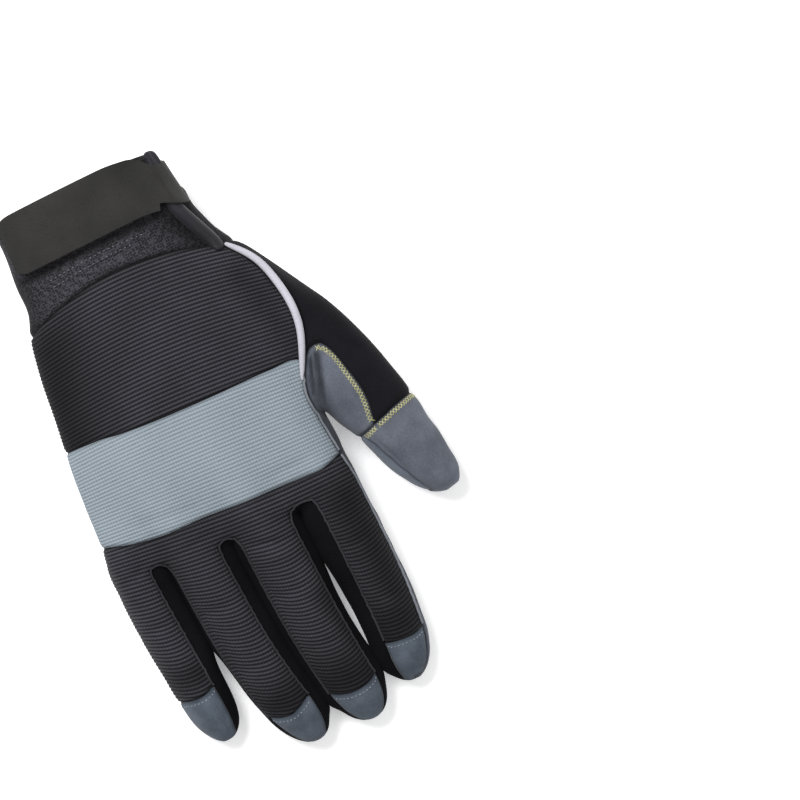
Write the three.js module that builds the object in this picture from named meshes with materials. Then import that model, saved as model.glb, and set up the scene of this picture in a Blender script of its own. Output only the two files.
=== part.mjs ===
import * as THREE from "three";

// Mechanic's glove for the right hand, lying palm down, in millimetres.
// +Y runs to the fingertips, +Z up out of the back of the hand, and the thumb is on the -X side.
// The whole skin is one net of shared points. Each panel is a patch of that net with a wall of its own.

// Driving dimensions
const knitWall = 1.2;
const suedeWall = 1.4;
const cuffWall = 2.4;
const seamGap = 0.36;
const padHeight = 2.7;
const palmHeight = 3;
const equatorHeight = 13;
const sideDrop = 11;
const sideStartAngle = -40;
const palmEdgeRoll = 11;
const fingerFacets = 4;
const fingerBodyRows = 7;
const capRows = 4;
const tipRoundLength = 15;
const tipRoundEnd = 0.93;
const slantLength = 30;
const trimGap = 0.35;
const padBevel = 0.9;
const strapThickness = 1.7;
const tabThickness = 2.6;
const bandLevels = 4;
const pipingSides = 8;
const bindingGap = 0.8;
const bindingSteps = 6;
const flareShare = 0.55;
const foldRounds = 5;
const foldLimit = 0.4;
const foldThinning = 0.8;

// Section of a finger, as shares of its half width and half height: seams of back and front, side points,
// and how squarely the back and the front arch over
const fingerSection = {
  backSeam: 0.42, frontSeam: 0.62, frontHalf: 0.84, side: 0.08, backArch: 2.1, frontArch: 2.6,
};

// Section of the cuff: how squarely it rounds at the sides, over the back and under the palm
const cuffSection = { sides: 0.86, back: 0.9, palm: 0.7, startAngle: 14 };

// Thumb section: angles of its columns on the outer side and the front
const thumbAngles = { outerBack: 124, frontFrom: -24, frontTo: -122, outer: [-150, 180, 152] };

// Turns rows of numbers under named columns into objects
function table(columns, rows) {
  return rows.map((row) => Object.fromEntries(columns.map((name, i) => [name, row[i]])));
}

// Finger stations: height of back and front, and roll of the section towards the little finger's side.
// backUlnar, backRadial: where the seams of the back lie towards the little finger and the thumb, as shares of
// the half width. slant: how far the crotch on the thumb's side lies past the one on the other side, halved
const stationColumns = ["y", "x", "half", "top", "bottom", "roll"];
const fingers = [
  {
    name: "little", capStart: 204, tip: 225.2, backUlnar: 0.82, backRadial: 0.64, slant: 3.2,
    stations: table(stationColumns, [
      [149, 53.6, 11.4, 24.5, 3.0, 23],
      [170, 53.2, 11.6, 22.5, 2.0, 21],
      [190, 52.4, 11.4, 20.5, 1.2, 18],
      [204, 51.7, 10.9, 19.0, 1.0, 15],
      [224, 50.3, 9.8, 16.5, 1.0, 10],
    ]),
  },
  {
    name: "ring", capStart: 226, tip: 241.2, backUlnar: 0.88, backRadial: 0.8, slant: 1.2,
    stations: table(stationColumns, [
      [153.4, 28.4, 13.2, 29.0, 3.0, 13],
      [175, 27.8, 13.1, 26.5, 2.0, 12],
      [195, 26.8, 12.8, 24.0, 1.2, 11],
      [215, 24.0, 12.3, 21.5, 0.8, 9],
      [226, 21.5, 11.8, 20.0, 0.8, 8],
      [240, 18.5, 11.0, 17.0, 0.8, 6],
    ]),
  },
  {
    name: "middle", capStart: 229, tip: 243.2, backUlnar: 0.88, backRadial: 0.9, slant: 0,
    stations: table(stationColumns, [
      [154.6, 0.0, 13.2, 30.0, 3.0, 2],
      [175, -0.3, 13.2, 27.5, 2.0, 2],
      [200, -1.2, 13.0, 24.0, 1.2, 2],
      [220, -3.0, 12.5, 21.5, 0.8, 2],
      [229, -4.2, 12.2, 20.0, 0.8, 2],
      [242, -5.5, 11.5, 17.0, 0.8, 2],
    ]),
  },
  {
    name: "index", capStart: 219, tip: 236.5, backUlnar: 0.6, backRadial: 0.84, slant: -1.4,
    stations: table(stationColumns, [
      [153.2, -29.6, 13.6, 26.5, 3.0, -18],
      [175, -29.9, 13.6, 24.5, 2.0, -17],
      [195, -30.0, 13.3, 22.5, 1.2, -15],
      [212, -29.7, 12.5, 20.5, 0.8, -11],
      [219, -29.3, 12.1, 19.5, 0.8, -9],
      [235, -27.3, 10.9, 16.5, 0.8, -6],
    ]),
  },
];

// Rows across the back of the hand, from the cuff seam to the crotches of the fingers.
// y at the little finger's side, the middle and the thumb's side; outline; edge towards the thumb; heights;
// and how much of the four finger arches already shows
const backRows = table(
  ["yUlnar", "yMiddle", "yRadial", "ulnar", "radial", "top", "edge", "arches"],
  [
    [47, 37.5, 48, 51, -35, 33, 23, 0],
    [58, 50, 58, 53, -44, 33, 24.5, 0],
    [67, 62, 69, 54.5, -47, 33, 25, 0],
    [76, 75, 80, 56, -49, 33, 25, 0],
    [86, 87, 91, 57.5, -48.5, 32.5, 25, 0],
    [94.5, 99, 102, 58.5, -43.5, 32, 24.5, 0.02],
    [103, 107, 110, 60, -39.5, 32, 24, 0.06],
    [111, 115, 117, 61, -38.5, 32, 23, 0.12],
    [119, 124, 124.5, 62, -39, 31.5, 22, 0.2],
    [127, 133, 134, 62.7, -40, 31, 21.5, 0.35],
    [134.5, 142, 143.5, 63.5, -40.7, 30.5, 21, 0.55],
    [140.5, 148, 148, 64.3, -41, 30, 20.5, 0.8],
    [146, 155, 152, 65, -41.5, 29.5, 20, 1],
  ],
);
const bandStart = 5;
const thumbCrotch = 8;
const bandEnd = 10;
const fingerBase = 12;

// Edge of the palm towards the thumb, a row for each row of the back
const palmEdge = table(
  ["x", "y", "z"],
  [
    [-34, 45, 9],
    [-42, 55.5, 7.5],
    [-49.5, 65.5, 6.5],
    [-56.8, 75.5, 6],
    [-57, 84, 5.2],
    [-54.5, 94.5, 4.5],
    [-51, 104, 5],
    [-46, 110, 6],
    [-41.5, 118, 9],
    [-41.5, 129, 9],
    [-41.8, 138, 9],
    [-42, 146, 8.5],
    [-42, 151.8, 8],
  ],
);

// Outline of the heel of the thumb, from the cuff to where the thumb's own tube starts
const heelRows = table(
  ["x", "y", "z"],
  [
    [-40, 46.5, 15],
    [-46.8, 57.5, 15],
    [-52.5, 68, 14.5],
    [-58, 78, 14],
  ],
);
const thumbStart = 3;

// Thumb sections, each from its inner point to its outer one, fanning out from the hand.
// blend: how much of the section's own ellipse shows; line: where the saddle's edge crosses the back,
// as a share of the width; seam: angle of the inner seam
const thumbSections = table(
  ["innerX", "innerY", "outerX", "outerY", "mid", "half", "blend", "line", "seam"],
  [
    [-43.5, 127, -65, 87, 14.0, 12.5, 0.7, 0.42, 22],
    [-45, 131, -68.5, 98, 13.6, 12.4, 0.95, 0.52, 22],
    [-46.5, 134, -71.7, 109, 13.3, 12.2, 1, 0.54, 24],
    [-48, 137, -74.5, 121, 13.0, 12.0, 1, 0.46, 26],
    [-49.5, 140, -77, 133, 12.8, 11.8, 1, 0.26, 30],
    [-51.5, 147, -78.5, 145, 12.2, 11.2, 1, 0.3, 42],
    [-54, 155, -80, 155, 11.4, 10.3, 1, 0.34, 48],
    [-57.5, 162, -80.8, 163, 10.5, 9.0, 1, 0.36, 50],
    [-61.5, 167.5, -80, 168.8, 9.4, 6.9, 1, 0.36, 50],
    [-66, 171.5, -77.5, 172.6, 8.4, 3.9, 1, 0.36, 50],
  ],
);
const thumbCapSection = 5;

// Piping between the back of the hand and the heel of the thumb: rows of the back, and radius there
const pipingRows = table(
  ["row", "radius"],
  [[0, 1.1], [1, 1.5], [2, 1.6], [3, 1.6], [4, 1.6], [5, 1.3], [6, 0.7]],
);

// Palm pads: outlines on the flat of the palm, each from the little finger's side round to it again
const outerPadOutside = table(
  ["x", "y"],
  [
    [41, 48], [25, 50], [5, 57], [-3, 71], [-18, 101], [-27, 113], [-29.5, 126], [-22, 140], [-12, 143],
    [20, 141.5], [50.5, 138],
  ],
);
const outerPadInside = table(
  ["x", "y"],
  [[50, 121.5], [25, 124.5], [2, 125], [-5.5, 118], [2, 109], [13, 86], [20, 74], [31, 68], [43, 66]],
);
const innerPadOutline = table(
  ["x", "y"],
  [[43.5, 68.5], [32, 70.5], [22.5, 76], [15, 89], [5, 109], [-2.5, 118.5], [3, 122.5], [25, 122], [49.5, 119]],
);

// Strap on the cuff: columns of the cuff's rings, from the back round the thumb's side to the palm, and the
// lower edge there; lift: room over the slit's binding
const strapColumns = table(
  ["column", "start", "end", "lift"],
  [
    [1, 2, 22, 0.4], [2, 0.5, 24, 0.4], [3, 0, 24, 0.4], [4, 0, 24, 0.4], [5, 0, 24, 0.4], [6, 0, 24, 0.4],
    [7, 0, 24, 0.4], [8, 0, 24, 0.4], [9, 0, 24, 0.4], [10, 0, 24, 0.4], [11, 0, 24, 0.4], [12, 0, 24, 0.4],
    [13, 0.3, 24, 0.4], [14, 1.2, 24, 0.9], [14.12, 1.4, 23.8, 1.1], [14.3, 2, 20.5, 1.6], [14.6, 4, 20, 2.7],
    [14.8, 7, 20, 3.3], [15, 8.3, 20, 3.4], [16, 8.8, 20, 3.5], [16.4, 8.8, 20, 3.4], [17, 8.5, 20, 2.9],
    [18, 7.6, 20, 1.4], [19, 6.5, 20, 0.6], [20, 5, 20.5, 0.4], [21, 3, 22, 0.4], [21.3, 2.5, 22.5, 0.4],
  ],
);

// Pull tab: where its D starts and ends on each column of the cuff
const tabColumns = table(
  ["column", "start", "end", "lift"],
  [
    [21.6, 1.5, 25.5, 0.4], [22, 0.8, 29.5, 0.4], [23, 0, 33.5, 0.4], [24, -0.3, 35, 0.4], [25, -0.5, 33.8, 0.4],
    [26, -0.5, 31.3, 0.4], [27, -0.5, 27.8, 0.4], [28, -0.5, 23, 0.4], [29, 0.3, 16.5, 0.4], [29.4, 2, 12.5, 0.4],
  ],
);

// Binding of the cuff's slit: its way over the cuff, half width and height
const bindingRows = table(
  ["x", "y", "half", "height"],
  [
    [-22.6, 1, 1.6, 1.2], [-23, 4.5, 2, 1.8], [-23, 12, 2, 1.8], [-23, 18, 2, 1.8], [-23.6, 23, 2.2, 1.9],
    [-25.6, 28.5, 2.3, 2.0], [-28.4, 35, 2.3, 1.9], [-30.4, 40, 2, 1.6], [-31.2, 42.5, 1.4, 1.0],
  ],
);

// Cuff rings, from the opening on. One more lies between the last and the seam, where the hand flares out
const cuffRows = table(
  ["yMiddle", "rise", "ulnar", "radial", "top", "bottom"],
  [
    [-2, 3, 44, -26, 37, 4],
    [8, 3, 44.3, -28, 36.5, 4],
    [18, 3.5, 44.8, -30.4, 36, 4],
    [27, 4.5, 45.8, -33.2, 35, 4],
  ],
);

// Cubic through a table's column, with each row's slope taken from its neighbours
function smoothAt(rows, along, name, at) {
  const last = rows.length - 1;
  let i = 0;
  while (i < last - 1 && at > rows[i + 1][along]) {
    i += 1;
  }
  const slope = (k) => {
    const before = rows[Math.max(k - 1, 0)];
    const after = rows[Math.min(k + 1, last)];
    return (after[name] - before[name]) / (after[along] - before[along]);
  };
  const span = rows[i + 1][along] - rows[i][along];
  const t = THREE.MathUtils.clamp((at - rows[i][along]) / span, 0, 1);
  const rise = t * t * (3 - 2 * t);
  const bend = slope(i) * t * (1 - t) * (1 - t) - slope(i + 1) * t * t * (1 - t);
  return THREE.MathUtils.lerp(rows[i][name], rows[i + 1][name], rise) + bend * span;
}

const mix = THREE.MathUtils.lerp;
const radians = THREE.MathUtils.degToRad;

// The net: points, and faces that each belong to a panel
const points = [];
const faces = [];

function addPoint(x, y, z) {
  points.push(new THREE.Vector3(x, y, z));
  return points.length - 1;
}

function addFace(panel, ...corners) {
  faces.push({ panel, corners });
}

// Faces between two rows of the net, whose outside is on the right of the way from row to row
function addStrip(panel, row, next, columns) {
  for (const j of columns) {
    addFace(panel, row[j], next[j], next[j + 1], row[j + 1]);
  }
}

function range(start, end) {
  return Array.from({ length: end - start }, (unused, i) => start + i);
}

// Points at given shares of the length of a dense line
function alongLine(line, shares) {
  const lengths = [0];
  for (let i = 1; i < line.length; i += 1) {
    lengths.push(lengths[i - 1] + line[i].distanceTo(line[i - 1]));
  }
  const whole = lengths[lengths.length - 1];
  return shares.map((share) => {
    let i = 1;
    while (i < line.length - 1 && lengths[i] < share * whole) {
      i += 1;
    }
    const t = (share * whole - lengths[i - 1]) / (lengths[i] - lengths[i - 1]);
    return line[i - 1].clone().lerp(line[i], THREE.MathUtils.clamp(t, 0, 1));
  });
}

function sharesOf(line) {
  const lengths = [0];
  for (let i = 1; i < line.length; i += 1) {
    lengths.push(lengths[i - 1] + line[i].distanceTo(line[i - 1]));
  }
  return lengths.map((length) => length / lengths[lengths.length - 1]);
}

// One ring of a finger: back from the little finger's side to the thumb's, side, front and back again
function fingerRing(finger, y, q) {
  const at = (name) => smoothAt(finger.stations, "y", name, y);
  const round = Math.sqrt(1 - q * q);
  const half = at("half") * round;
  const fullHeight = at("top") - at("bottom");
  const height = (fullHeight / 2) * Math.pow(round, 1.2);
  const middle = at("bottom") + fullHeight * mix(0.5, 0.4, q);
  const roll = radians(at("roll"));
  const slant = finger.slant * Math.max(0, 1 - (y - finger.stations[0].y) / slantLength);
  const place = (across, up) => new THREE.Vector3(
    at("x") - across * Math.cos(roll) + up * Math.sin(roll),
    y + (slant * across) / half,
    middle + across * Math.sin(roll) + up * Math.cos(roll),
  );
  const shape = fingerSection;
  const backSeam = height * shape.backSeam;
  const frontSeam = -height * shape.frontSeam;
  const ring = [];
  for (let j = 0; j <= fingerFacets; j += 1) {
    const side = (2 * j) / fingerFacets - 1;
    const reach = half * (side < 0 ? finger.backUlnar : finger.backRadial);
    ring.push(place(side * reach, mix(height, backSeam, Math.pow(Math.abs(side), shape.backArch))));
  }
  ring.push(place(half, -height * shape.side));
  for (let j = 0; j <= fingerFacets; j += 1) {
    const side = 1 - (2 * j) / fingerFacets;
    const rise = Math.pow(Math.abs(side), shape.frontArch);
    ring.push(place(side * half * shape.frontHalf, mix(-height, frontSeam, rise)));
  }
  ring.push(place(-half, -height * shape.side));
  return ring;
}
const radialMid = fingerFacets + 1;
const frontStart = fingerFacets + 2;
const frontEnd = frontStart + fingerFacets;
const ulnarMid = frontEnd + 1;

// Fingers: rings from the crotch to the tip, kept as point numbers
for (const finger of fingers) {
  const start = finger.stations[0].y;
  const roundStart = finger.tip - tipRoundLength;
  const end = roundStart + tipRoundLength * tipRoundEnd;
  const ys = [];
  for (let i = 0; i <= fingerBodyRows; i += 1) {
    ys.push(mix(start, finger.capStart, i / fingerBodyRows));
  }
  for (let i = 1; i <= capRows; i += 1) {
    const t = i / capRows;
    ys.push(mix(finger.capStart, end, 1 - (1 - t) * (1 - t) * 0.55 - (1 - t) * 0.45));
  }
  finger.rings = ys.map((y) => {
    const q = Math.max(0, (y - roundStart) / tipRoundLength);
    return fingerRing(finger, y, q).map((p) => addPoint(p.x, p.y, p.z));
  });
}

// Line across the back at one row, from the palm seam on the little finger's side to the thumb's side
function backLine(row) {
  const rise = row.top - equatorHeight;
  const endAngle = Math.asin((row.edge - equatorHeight) / rise);
  const half = (row.ulnar - row.radial) / (1 + Math.cos(endAngle));
  const centre = row.ulnar - half;
  const startAngle = radians(sideStartAngle);
  const line = [];
  const steps = 90;
  for (let i = 0; i <= steps; i += 1) {
    const angle = mix(startAngle, Math.PI - endAngle, i / steps);
    const lift = Math.sin(angle);
    const z = equatorHeight + lift * (lift > 0 ? rise : sideDrop);
    const x = centre + half * Math.cos(angle);
    const t = (row.ulnar - x) / (row.ulnar - row.radial);
    const bow = row.yMiddle - (row.yUlnar + row.yRadial) / 2;
    const y = mix(row.yUlnar, row.yRadial, t) + 4 * bow * t * (1 - t);
    line.push(new THREE.Vector3(x, y, z));
  }
  return line;
}

// Line across the palm at one row, flat in the middle and rolled up to its two edges
function palmLine(start, end, yMiddle) {
  const line = [];
  const steps = 60;
  for (let i = 0; i <= steps; i += 1) {
    const t = i / steps;
    const x = mix(start.x, end.x, t);
    const bow = yMiddle - (start.y + end.y) / 2;
    const y = mix(start.y, end.y, t) + 4 * bow * t * (1 - t);
    const atStart = Math.max(0, 1 - Math.abs(x - start.x) / palmEdgeRoll);
    const atEnd = Math.max(0, 1 - Math.abs(x - end.x) / palmEdgeRoll);
    const lift = (start.z - palmHeight) * atStart * atStart + (end.z - palmHeight) * atEnd * atEnd;
    line.push(new THREE.Vector3(x, y, palmHeight + lift));
  }
  return line;
}

// Hand: columns of the net come from the finger rings at the crotches
const crotchBack = fingers.flatMap((finger) => finger.rings[0].slice(0, radialMid));
const crotchFront = fingers.flatMap((finger) => finger.rings[0].slice(frontStart, ulnarMid).reverse());
const crotchUlnar = fingers[0].rings[0][ulnarMid];
const crotchRadial = fingers[3].rings[0][radialMid];
const lastColumn = crotchBack.length - 1;

const backStart = [crotchFront[0], crotchUlnar, ...crotchBack].map((i) => points[i]);
const backShares = sharesOf(backStart);
const baseLine = alongLine(backLine(backRows[fingerBase]), backShares);
const frontStartLine = crotchFront.map((i) => points[i]);
const frontShares = sharesOf(frontStartLine);

// hand.back, hand.palm, hand.ulnar, hand.side: rows of point numbers
const hand = { back: [], palm: [], ulnar: [], side: [] };
const palmMiddle = [43, 51, 62, 75, 87, 99, 107, 115, 124, 133, 141, 147, 152];
backRows.forEach((row, i) => {
  if (i === fingerBase) {
    hand.back.push(crotchBack);
    hand.palm.push(crotchFront);
    hand.ulnar.push(crotchUlnar);
    hand.side.push(crotchRadial);
    return;
  }
  const arch = backStart.map((p, j) => p.clone().sub(baseLine[j]).multiplyScalar(row.arches));
  const line = alongLine(backLine(row), backShares).map((p, j) => p.add(arch[j]));
  const numbers = line.map((p) => addPoint(p.x, p.y, p.z));
  const edge = palmEdge[i];
  const lastEdge = palmEdge[fingerBase];
  const lowLine = alongLine(palmLine(line[0], edge, palmMiddle[i]), frontShares);
  const endLine = alongLine(palmLine(frontStartLine[0], lastEdge, palmMiddle[fingerBase]), frontShares);
  const palmRow = lowLine.map((p, j) => {
    if (j === 0) {
      return numbers[0];
    }
    const shift = frontStartLine[j].clone().sub(endLine[j]).multiplyScalar(row.arches);
    p.add(shift);
    return addPoint(p.x, p.y, Math.max(p.z, palmHeight));
  });
  hand.back.push(numbers.slice(2));
  hand.ulnar.push(numbers[1]);
  hand.palm.push(palmRow);
  const upper = points[numbers[lastColumn + 2]];
  const lower = points[palmRow[lastColumn]];
  hand.side.push(i < thumbCrotch ? null
    : addPoint(mix(upper.x, lower.x, 0.5) - 2.2, mix(upper.y, lower.y, 0.5), mix(upper.z, lower.z, 0.5)));
});

// Which panel a row of the back belongs to
function backPanel(i) {
  if (i < bandStart) {
    return "back_of_hand";
  }
  return i < bandEnd ? "knuckle_band" : "finger_back_panel";
}

for (let i = 0; i < fingerBase; i += 1) {
  const panel = backPanel(i);
  addStrip(panel, hand.back[i], hand.back[i + 1], range(0, lastColumn));
  addFace(panel, hand.ulnar[i], hand.ulnar[i + 1], hand.back[i + 1][0], hand.back[i][0]);
  const upperEnd = i + 1 === fingerBase ? crotchFront[0] : hand.palm[i + 1][0];
  addFace(panel, hand.palm[i][0], upperEnd, hand.ulnar[i + 1], hand.ulnar[i]);
  addStrip("palm_panel", hand.palm[i + 1], hand.palm[i], range(0, lastColumn));
  if (i >= thumbCrotch) {
    const ends = [i, i + 1].map((k) => [hand.back[k][lastColumn], hand.side[k], hand.palm[k][lastColumn]]);
    addStrip("thumb_saddle", ends[0], ends[1], range(0, 2));
  }
}

// Fingers: panels round each ring
const strips = ["fourchette_ring_little", "fourchette_middle_ring", "fourchette_index_middle", "thumb_saddle"];
fingers.forEach((finger, f) => {
  const radialPanel = strips[f];
  const ulnarPanel = f === 0 ? null : strips[f - 1];
  const cap = `fingertip_cap_${finger.name}`;
  for (let i = 0; i < finger.rings.length - 1; i += 1) {
    const [row, next] = [finger.rings[i], finger.rings[i + 1]];
    const back = i < fingerBodyRows ? "finger_back_panel" : cap;
    addStrip(back, row, next, range(0, fingerFacets));
    addStrip(radialPanel, row, next, range(fingerFacets, frontStart));
    addStrip("palm_panel", row, next, range(frontStart, frontEnd));
    const outer = ulnarPanel ?? back;
    addFace(outer, row[frontEnd], next[frontEnd], next[ulnarMid], row[ulnarMid]);
    addFace(outer, row[ulnarMid], next[ulnarMid], next[0], row[0]);
  }
  const end = finger.rings[finger.rings.length - 1];
  const middle = [end[ulnarMid]];
  for (let j = 1; j < fingerFacets; j += 1) {
    const [over, under] = [points[end[j]], points[end[frontEnd - j]]];
    middle.push(addPoint(mix(over.x, under.x, 0.5), finger.tip, mix(over.z, under.z, 0.5)));
  }
  middle.push(end[radialMid]);
  const under = range(0, fingerFacets + 1).map((j) => end[frontEnd - j]);
  const split = fingerFacets / 2;
  addStrip(ulnarPanel ?? cap, end, middle, range(0, split));
  addStrip(ulnarPanel ?? cap, middle, under, range(0, split));
  addStrip(radialPanel, end, middle, range(split, fingerFacets));
  addStrip(radialPanel, middle, under, range(split, fingerFacets));
});

// Bottom of each fork between two fingers
for (let f = 0; f < fingers.length - 1; f += 1) {
  const [near, far] = [fingers[f].rings[0], fingers[f + 1].rings[0]];
  addFace(strips[f], near[fingerFacets], near[radialMid], far[ulnarMid], far[0]);
  addFace(strips[f], near[radialMid], near[frontStart], far[frontEnd], far[ulnarMid]);
}

// Heel of the thumb: side columns from the piping round the outline to the palm's edge
const heel = heelRows.map((row, i) => {
  const upper = points[hand.back[i][lastColumn]];
  const lower = points[hand.palm[i][lastColumn]];
  const high = addPoint(mix(upper.x, row.x, 0.6), mix(upper.y, row.y, 0.5), mix(upper.z, row.z, 0.33));
  const out = addPoint(row.x, row.y, row.z);
  const low = addPoint(mix(row.x, lower.x, 0.35) - 0.5, mix(row.y, lower.y, 0.5), mix(row.z, lower.z, 0.6));
  return [hand.back[i][lastColumn], high, out, low, hand.palm[i][lastColumn]];
});
for (let i = 0; i < thumbStart; i += 1) {
  addStrip("thumb_back", heel[i], heel[i + 1], range(0, 4));
}

// Thumb: a tube that starts from the open side of the hand
const backEdge = range(thumbStart, thumbCrotch + 1).map((i) => hand.back[i][lastColumn]);
const frontEdge = range(thumbStart, thumbCrotch + 1).map((i) => hand.palm[i][lastColumn]).reverse();
const heelEnd = heel[thumbStart];
const thumbRings = [[...backEdge, hand.side[thumbCrotch], ...frontEdge, heelEnd[3], heelEnd[2], heelEnd[1]]];
const thumbLine = 2;
const thumbInner = backEdge.length;
const stripEdge = thumbInner + frontEdge.length;
thumbSections.forEach((section) => {
  const line = Math.acos(1 - 2 * section.line);
  const seam = radians(section.seam);
  const angles = [];
  const outerBack = radians(thumbAngles.outerBack);
  angles.push(outerBack, mix(outerBack, line, 0.5));
  for (let j = thumbLine; j < thumbInner; j += 1) {
    angles.push(mix(line, seam, (j - thumbLine) / (thumbInner - 1 - thumbLine)));
  }
  angles.push(0);
  for (let j = 0; j < frontEdge.length; j += 1) {
    angles.push(radians(mix(thumbAngles.frontFrom, thumbAngles.frontTo, j / (frontEdge.length - 1))));
  }
  angles.push(...thumbAngles.outer.map((angle) => radians(angle)));
  const inner = new THREE.Vector3(section.innerX, section.innerY, section.mid);
  const outer = new THREE.Vector3(section.outerX, section.outerY, section.mid);
  const centre = inner.clone().lerp(outer, 0.5);
  const across = inner.clone().sub(centre);
  thumbRings.push(angles.map((angle, j) => {
    const p = centre.clone().addScaledVector(across, Math.cos(angle));
    p.z += section.half * Math.sin(angle);
    p.lerp(points[thumbRings[0][j]], 1 - section.blend);
    return addPoint(p.x, p.y, p.z);
  }));
});

// Thumb: which panel a column belongs to, before and past the seam of the cap
function thumbPanel(section, j) {
  const front = j >= thumbInner - 1 && j < stripEdge;
  if (section >= thumbCapSection) {
    return front ? "thumb_front" : "thumb_cap";
  }
  if (j >= thumbLine && j <= thumbInner) {
    return "thumb_saddle";
  }
  return front ? "thumb_front" : "thumb_back";
}
const around = thumbRings[0].length;
for (let i = 0; i < thumbRings.length - 1; i += 1) {
  const [row, next] = [thumbRings[i], thumbRings[i + 1]];
  for (let j = 0; j < around; j += 1) {
    const k = (j + 1) % around;
    addFace(thumbPanel(i, j), row[j], row[k], next[k], next[j]);
  }
}
const thumbEnd = thumbRings[thumbRings.length - 1];
const overSide = [...range(0, thumbInner).map((j) => thumbEnd[thumbInner - 1 - j]), thumbEnd[around - 1]];
const underSide = range(thumbInner + 1, around - 2).map((j) => thumbEnd[j]);
addFace("thumb_cap", overSide[0], thumbEnd[thumbInner], underSide[0]);
for (let j = 0; j < overSide.length - 1; j += 1) {
  addFace("thumb_cap", overSide[j], underSide[j], underSide[j + 1], overSide[j + 1]);
}
addFace("thumb_cap", overSide[overSide.length - 1], underSide[overSide.length - 1], thumbEnd[around - 2]);

// Cuff: rings of the same columns as the hand's first row
const seamRing = [...hand.back[0], ...heel[0].slice(1, 4), ...[...hand.palm[0]].reverse(), hand.ulnar[0]];
const seamShares = sharesOf([...seamRing, seamRing[0]].map((i) => points[i])).slice(0, -1);
const cuffRings = cuffRows.map((row) => {
  const centre = (row.ulnar + row.radial) / 2;
  const half = (row.ulnar - row.radial) / 2;
  const height = (row.top - row.bottom) / 2;
  const line = [];
  const steps = 120;
  const startAngle = radians(cuffSection.startAngle);
  for (let i = 0; i <= steps; i += 1) {
    const angle = startAngle + (2 * Math.PI * i) / steps;
    const [c, s] = [Math.cos(angle), Math.sin(angle)];
    const x = centre + half * Math.sign(c) * Math.pow(Math.abs(c), cuffSection.sides);
    const round = s < 0 ? cuffSection.palm : cuffSection.back;
    const z = row.bottom + height * (1 + Math.sign(s) * Math.pow(Math.abs(s), round));
    const t = (x - centre) / half;
    line.push(new THREE.Vector3(x, row.yMiddle + row.rise * t * t, z));
  }
  return alongLine(line, seamShares).map((p) => addPoint(p.x, p.y, p.z));
});
cuffRings.push(seamRing.map((number, j) => {
  const p = points[cuffRings[cuffRings.length - 1][j]].clone().lerp(points[number], flareShare);
  return addPoint(p.x, p.y, p.z);
}));
cuffRings.push(seamRing);
for (let i = 0; i < cuffRings.length - 1; i += 1) {
  for (let j = 0; j < seamRing.length; j += 1) {
    const k = (j + 1) % seamRing.length;
    addFace("cuff", cuffRings[i][j], cuffRings[i + 1][j], cuffRings[i + 1][k], cuffRings[i][k]);
  }
}

// Outward direction at each point of the net
function normalOf(corners) {
  const [a, b, c] = corners;
  const d = corners.length === 3 ? a : corners[3];
  return c.clone().sub(a).cross(d.clone().sub(b));
}

// Two triangles of a four-sided face, split along the diagonal that leaves it the flatter
function splitFace(corners) {
  if (corners.length === 3) {
    return [corners];
  }
  const [a, b, c, d] = corners;
  const bend = (triangles) => {
    const [one, two] = triangles.map((t) => normalOf(t.map((i) => points[i])).normalize());
    return one.dot(two);
  };
  const first = [[a, b, c], [a, c, d]];
  const second = [[b, c, d], [b, d, a]];
  return bend(first) >= bend(second) ? first : second;
}

const outward = points.map(() => new THREE.Vector3());
for (const face of faces) {
  const normal = normalOf(face.corners.map((i) => points[i]));
  face.normal = normal.clone().normalize();
  for (const i of face.corners) {
    outward[i].add(normal);
  }
}
outward.forEach((normal) => normal.normalize());

// Shell of triangles as a mesh
function meshFrom(name, colour, roughness, positions, triangles) {
  const geometry = new THREE.BufferGeometry();
  geometry.setAttribute("position", new THREE.Float32BufferAttribute(positions.flatMap((p) => p.toArray()), 3));
  geometry.setIndex(triangles.flat());
  geometry.computeVertexNormals();
  const material = new THREE.MeshStandardMaterial({ color: colour, roughness, metalness: 0 });
  const mesh = new THREE.Mesh(geometry, material);
  mesh.name = name;
  return mesh;
}

// Closed shell from rings of points: walls between the rings, flat fans at both ends
function tubeFrom(name, colour, roughness, rings) {
  const positions = rings.flat();
  const count = rings[0].length;
  const triangles = [];
  for (let i = 0; i < rings.length - 1; i += 1) {
    for (let j = 0; j < count; j += 1) {
      const k = (j + 1) % count;
      const [a, b, c, d] = [i * count + j, (i + 1) * count + j, (i + 1) * count + k, i * count + k];
      triangles.push([a, b, c], [a, c, d]);
    }
  }
  const last = (rings.length - 1) * count;
  for (let j = 1; j < count - 1; j += 1) {
    triangles.push([0, j, j + 1], [last, last + j + 1, last + j]);
  }
  return meshFrom(name, colour, roughness, positions, triangles);
}

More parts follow.
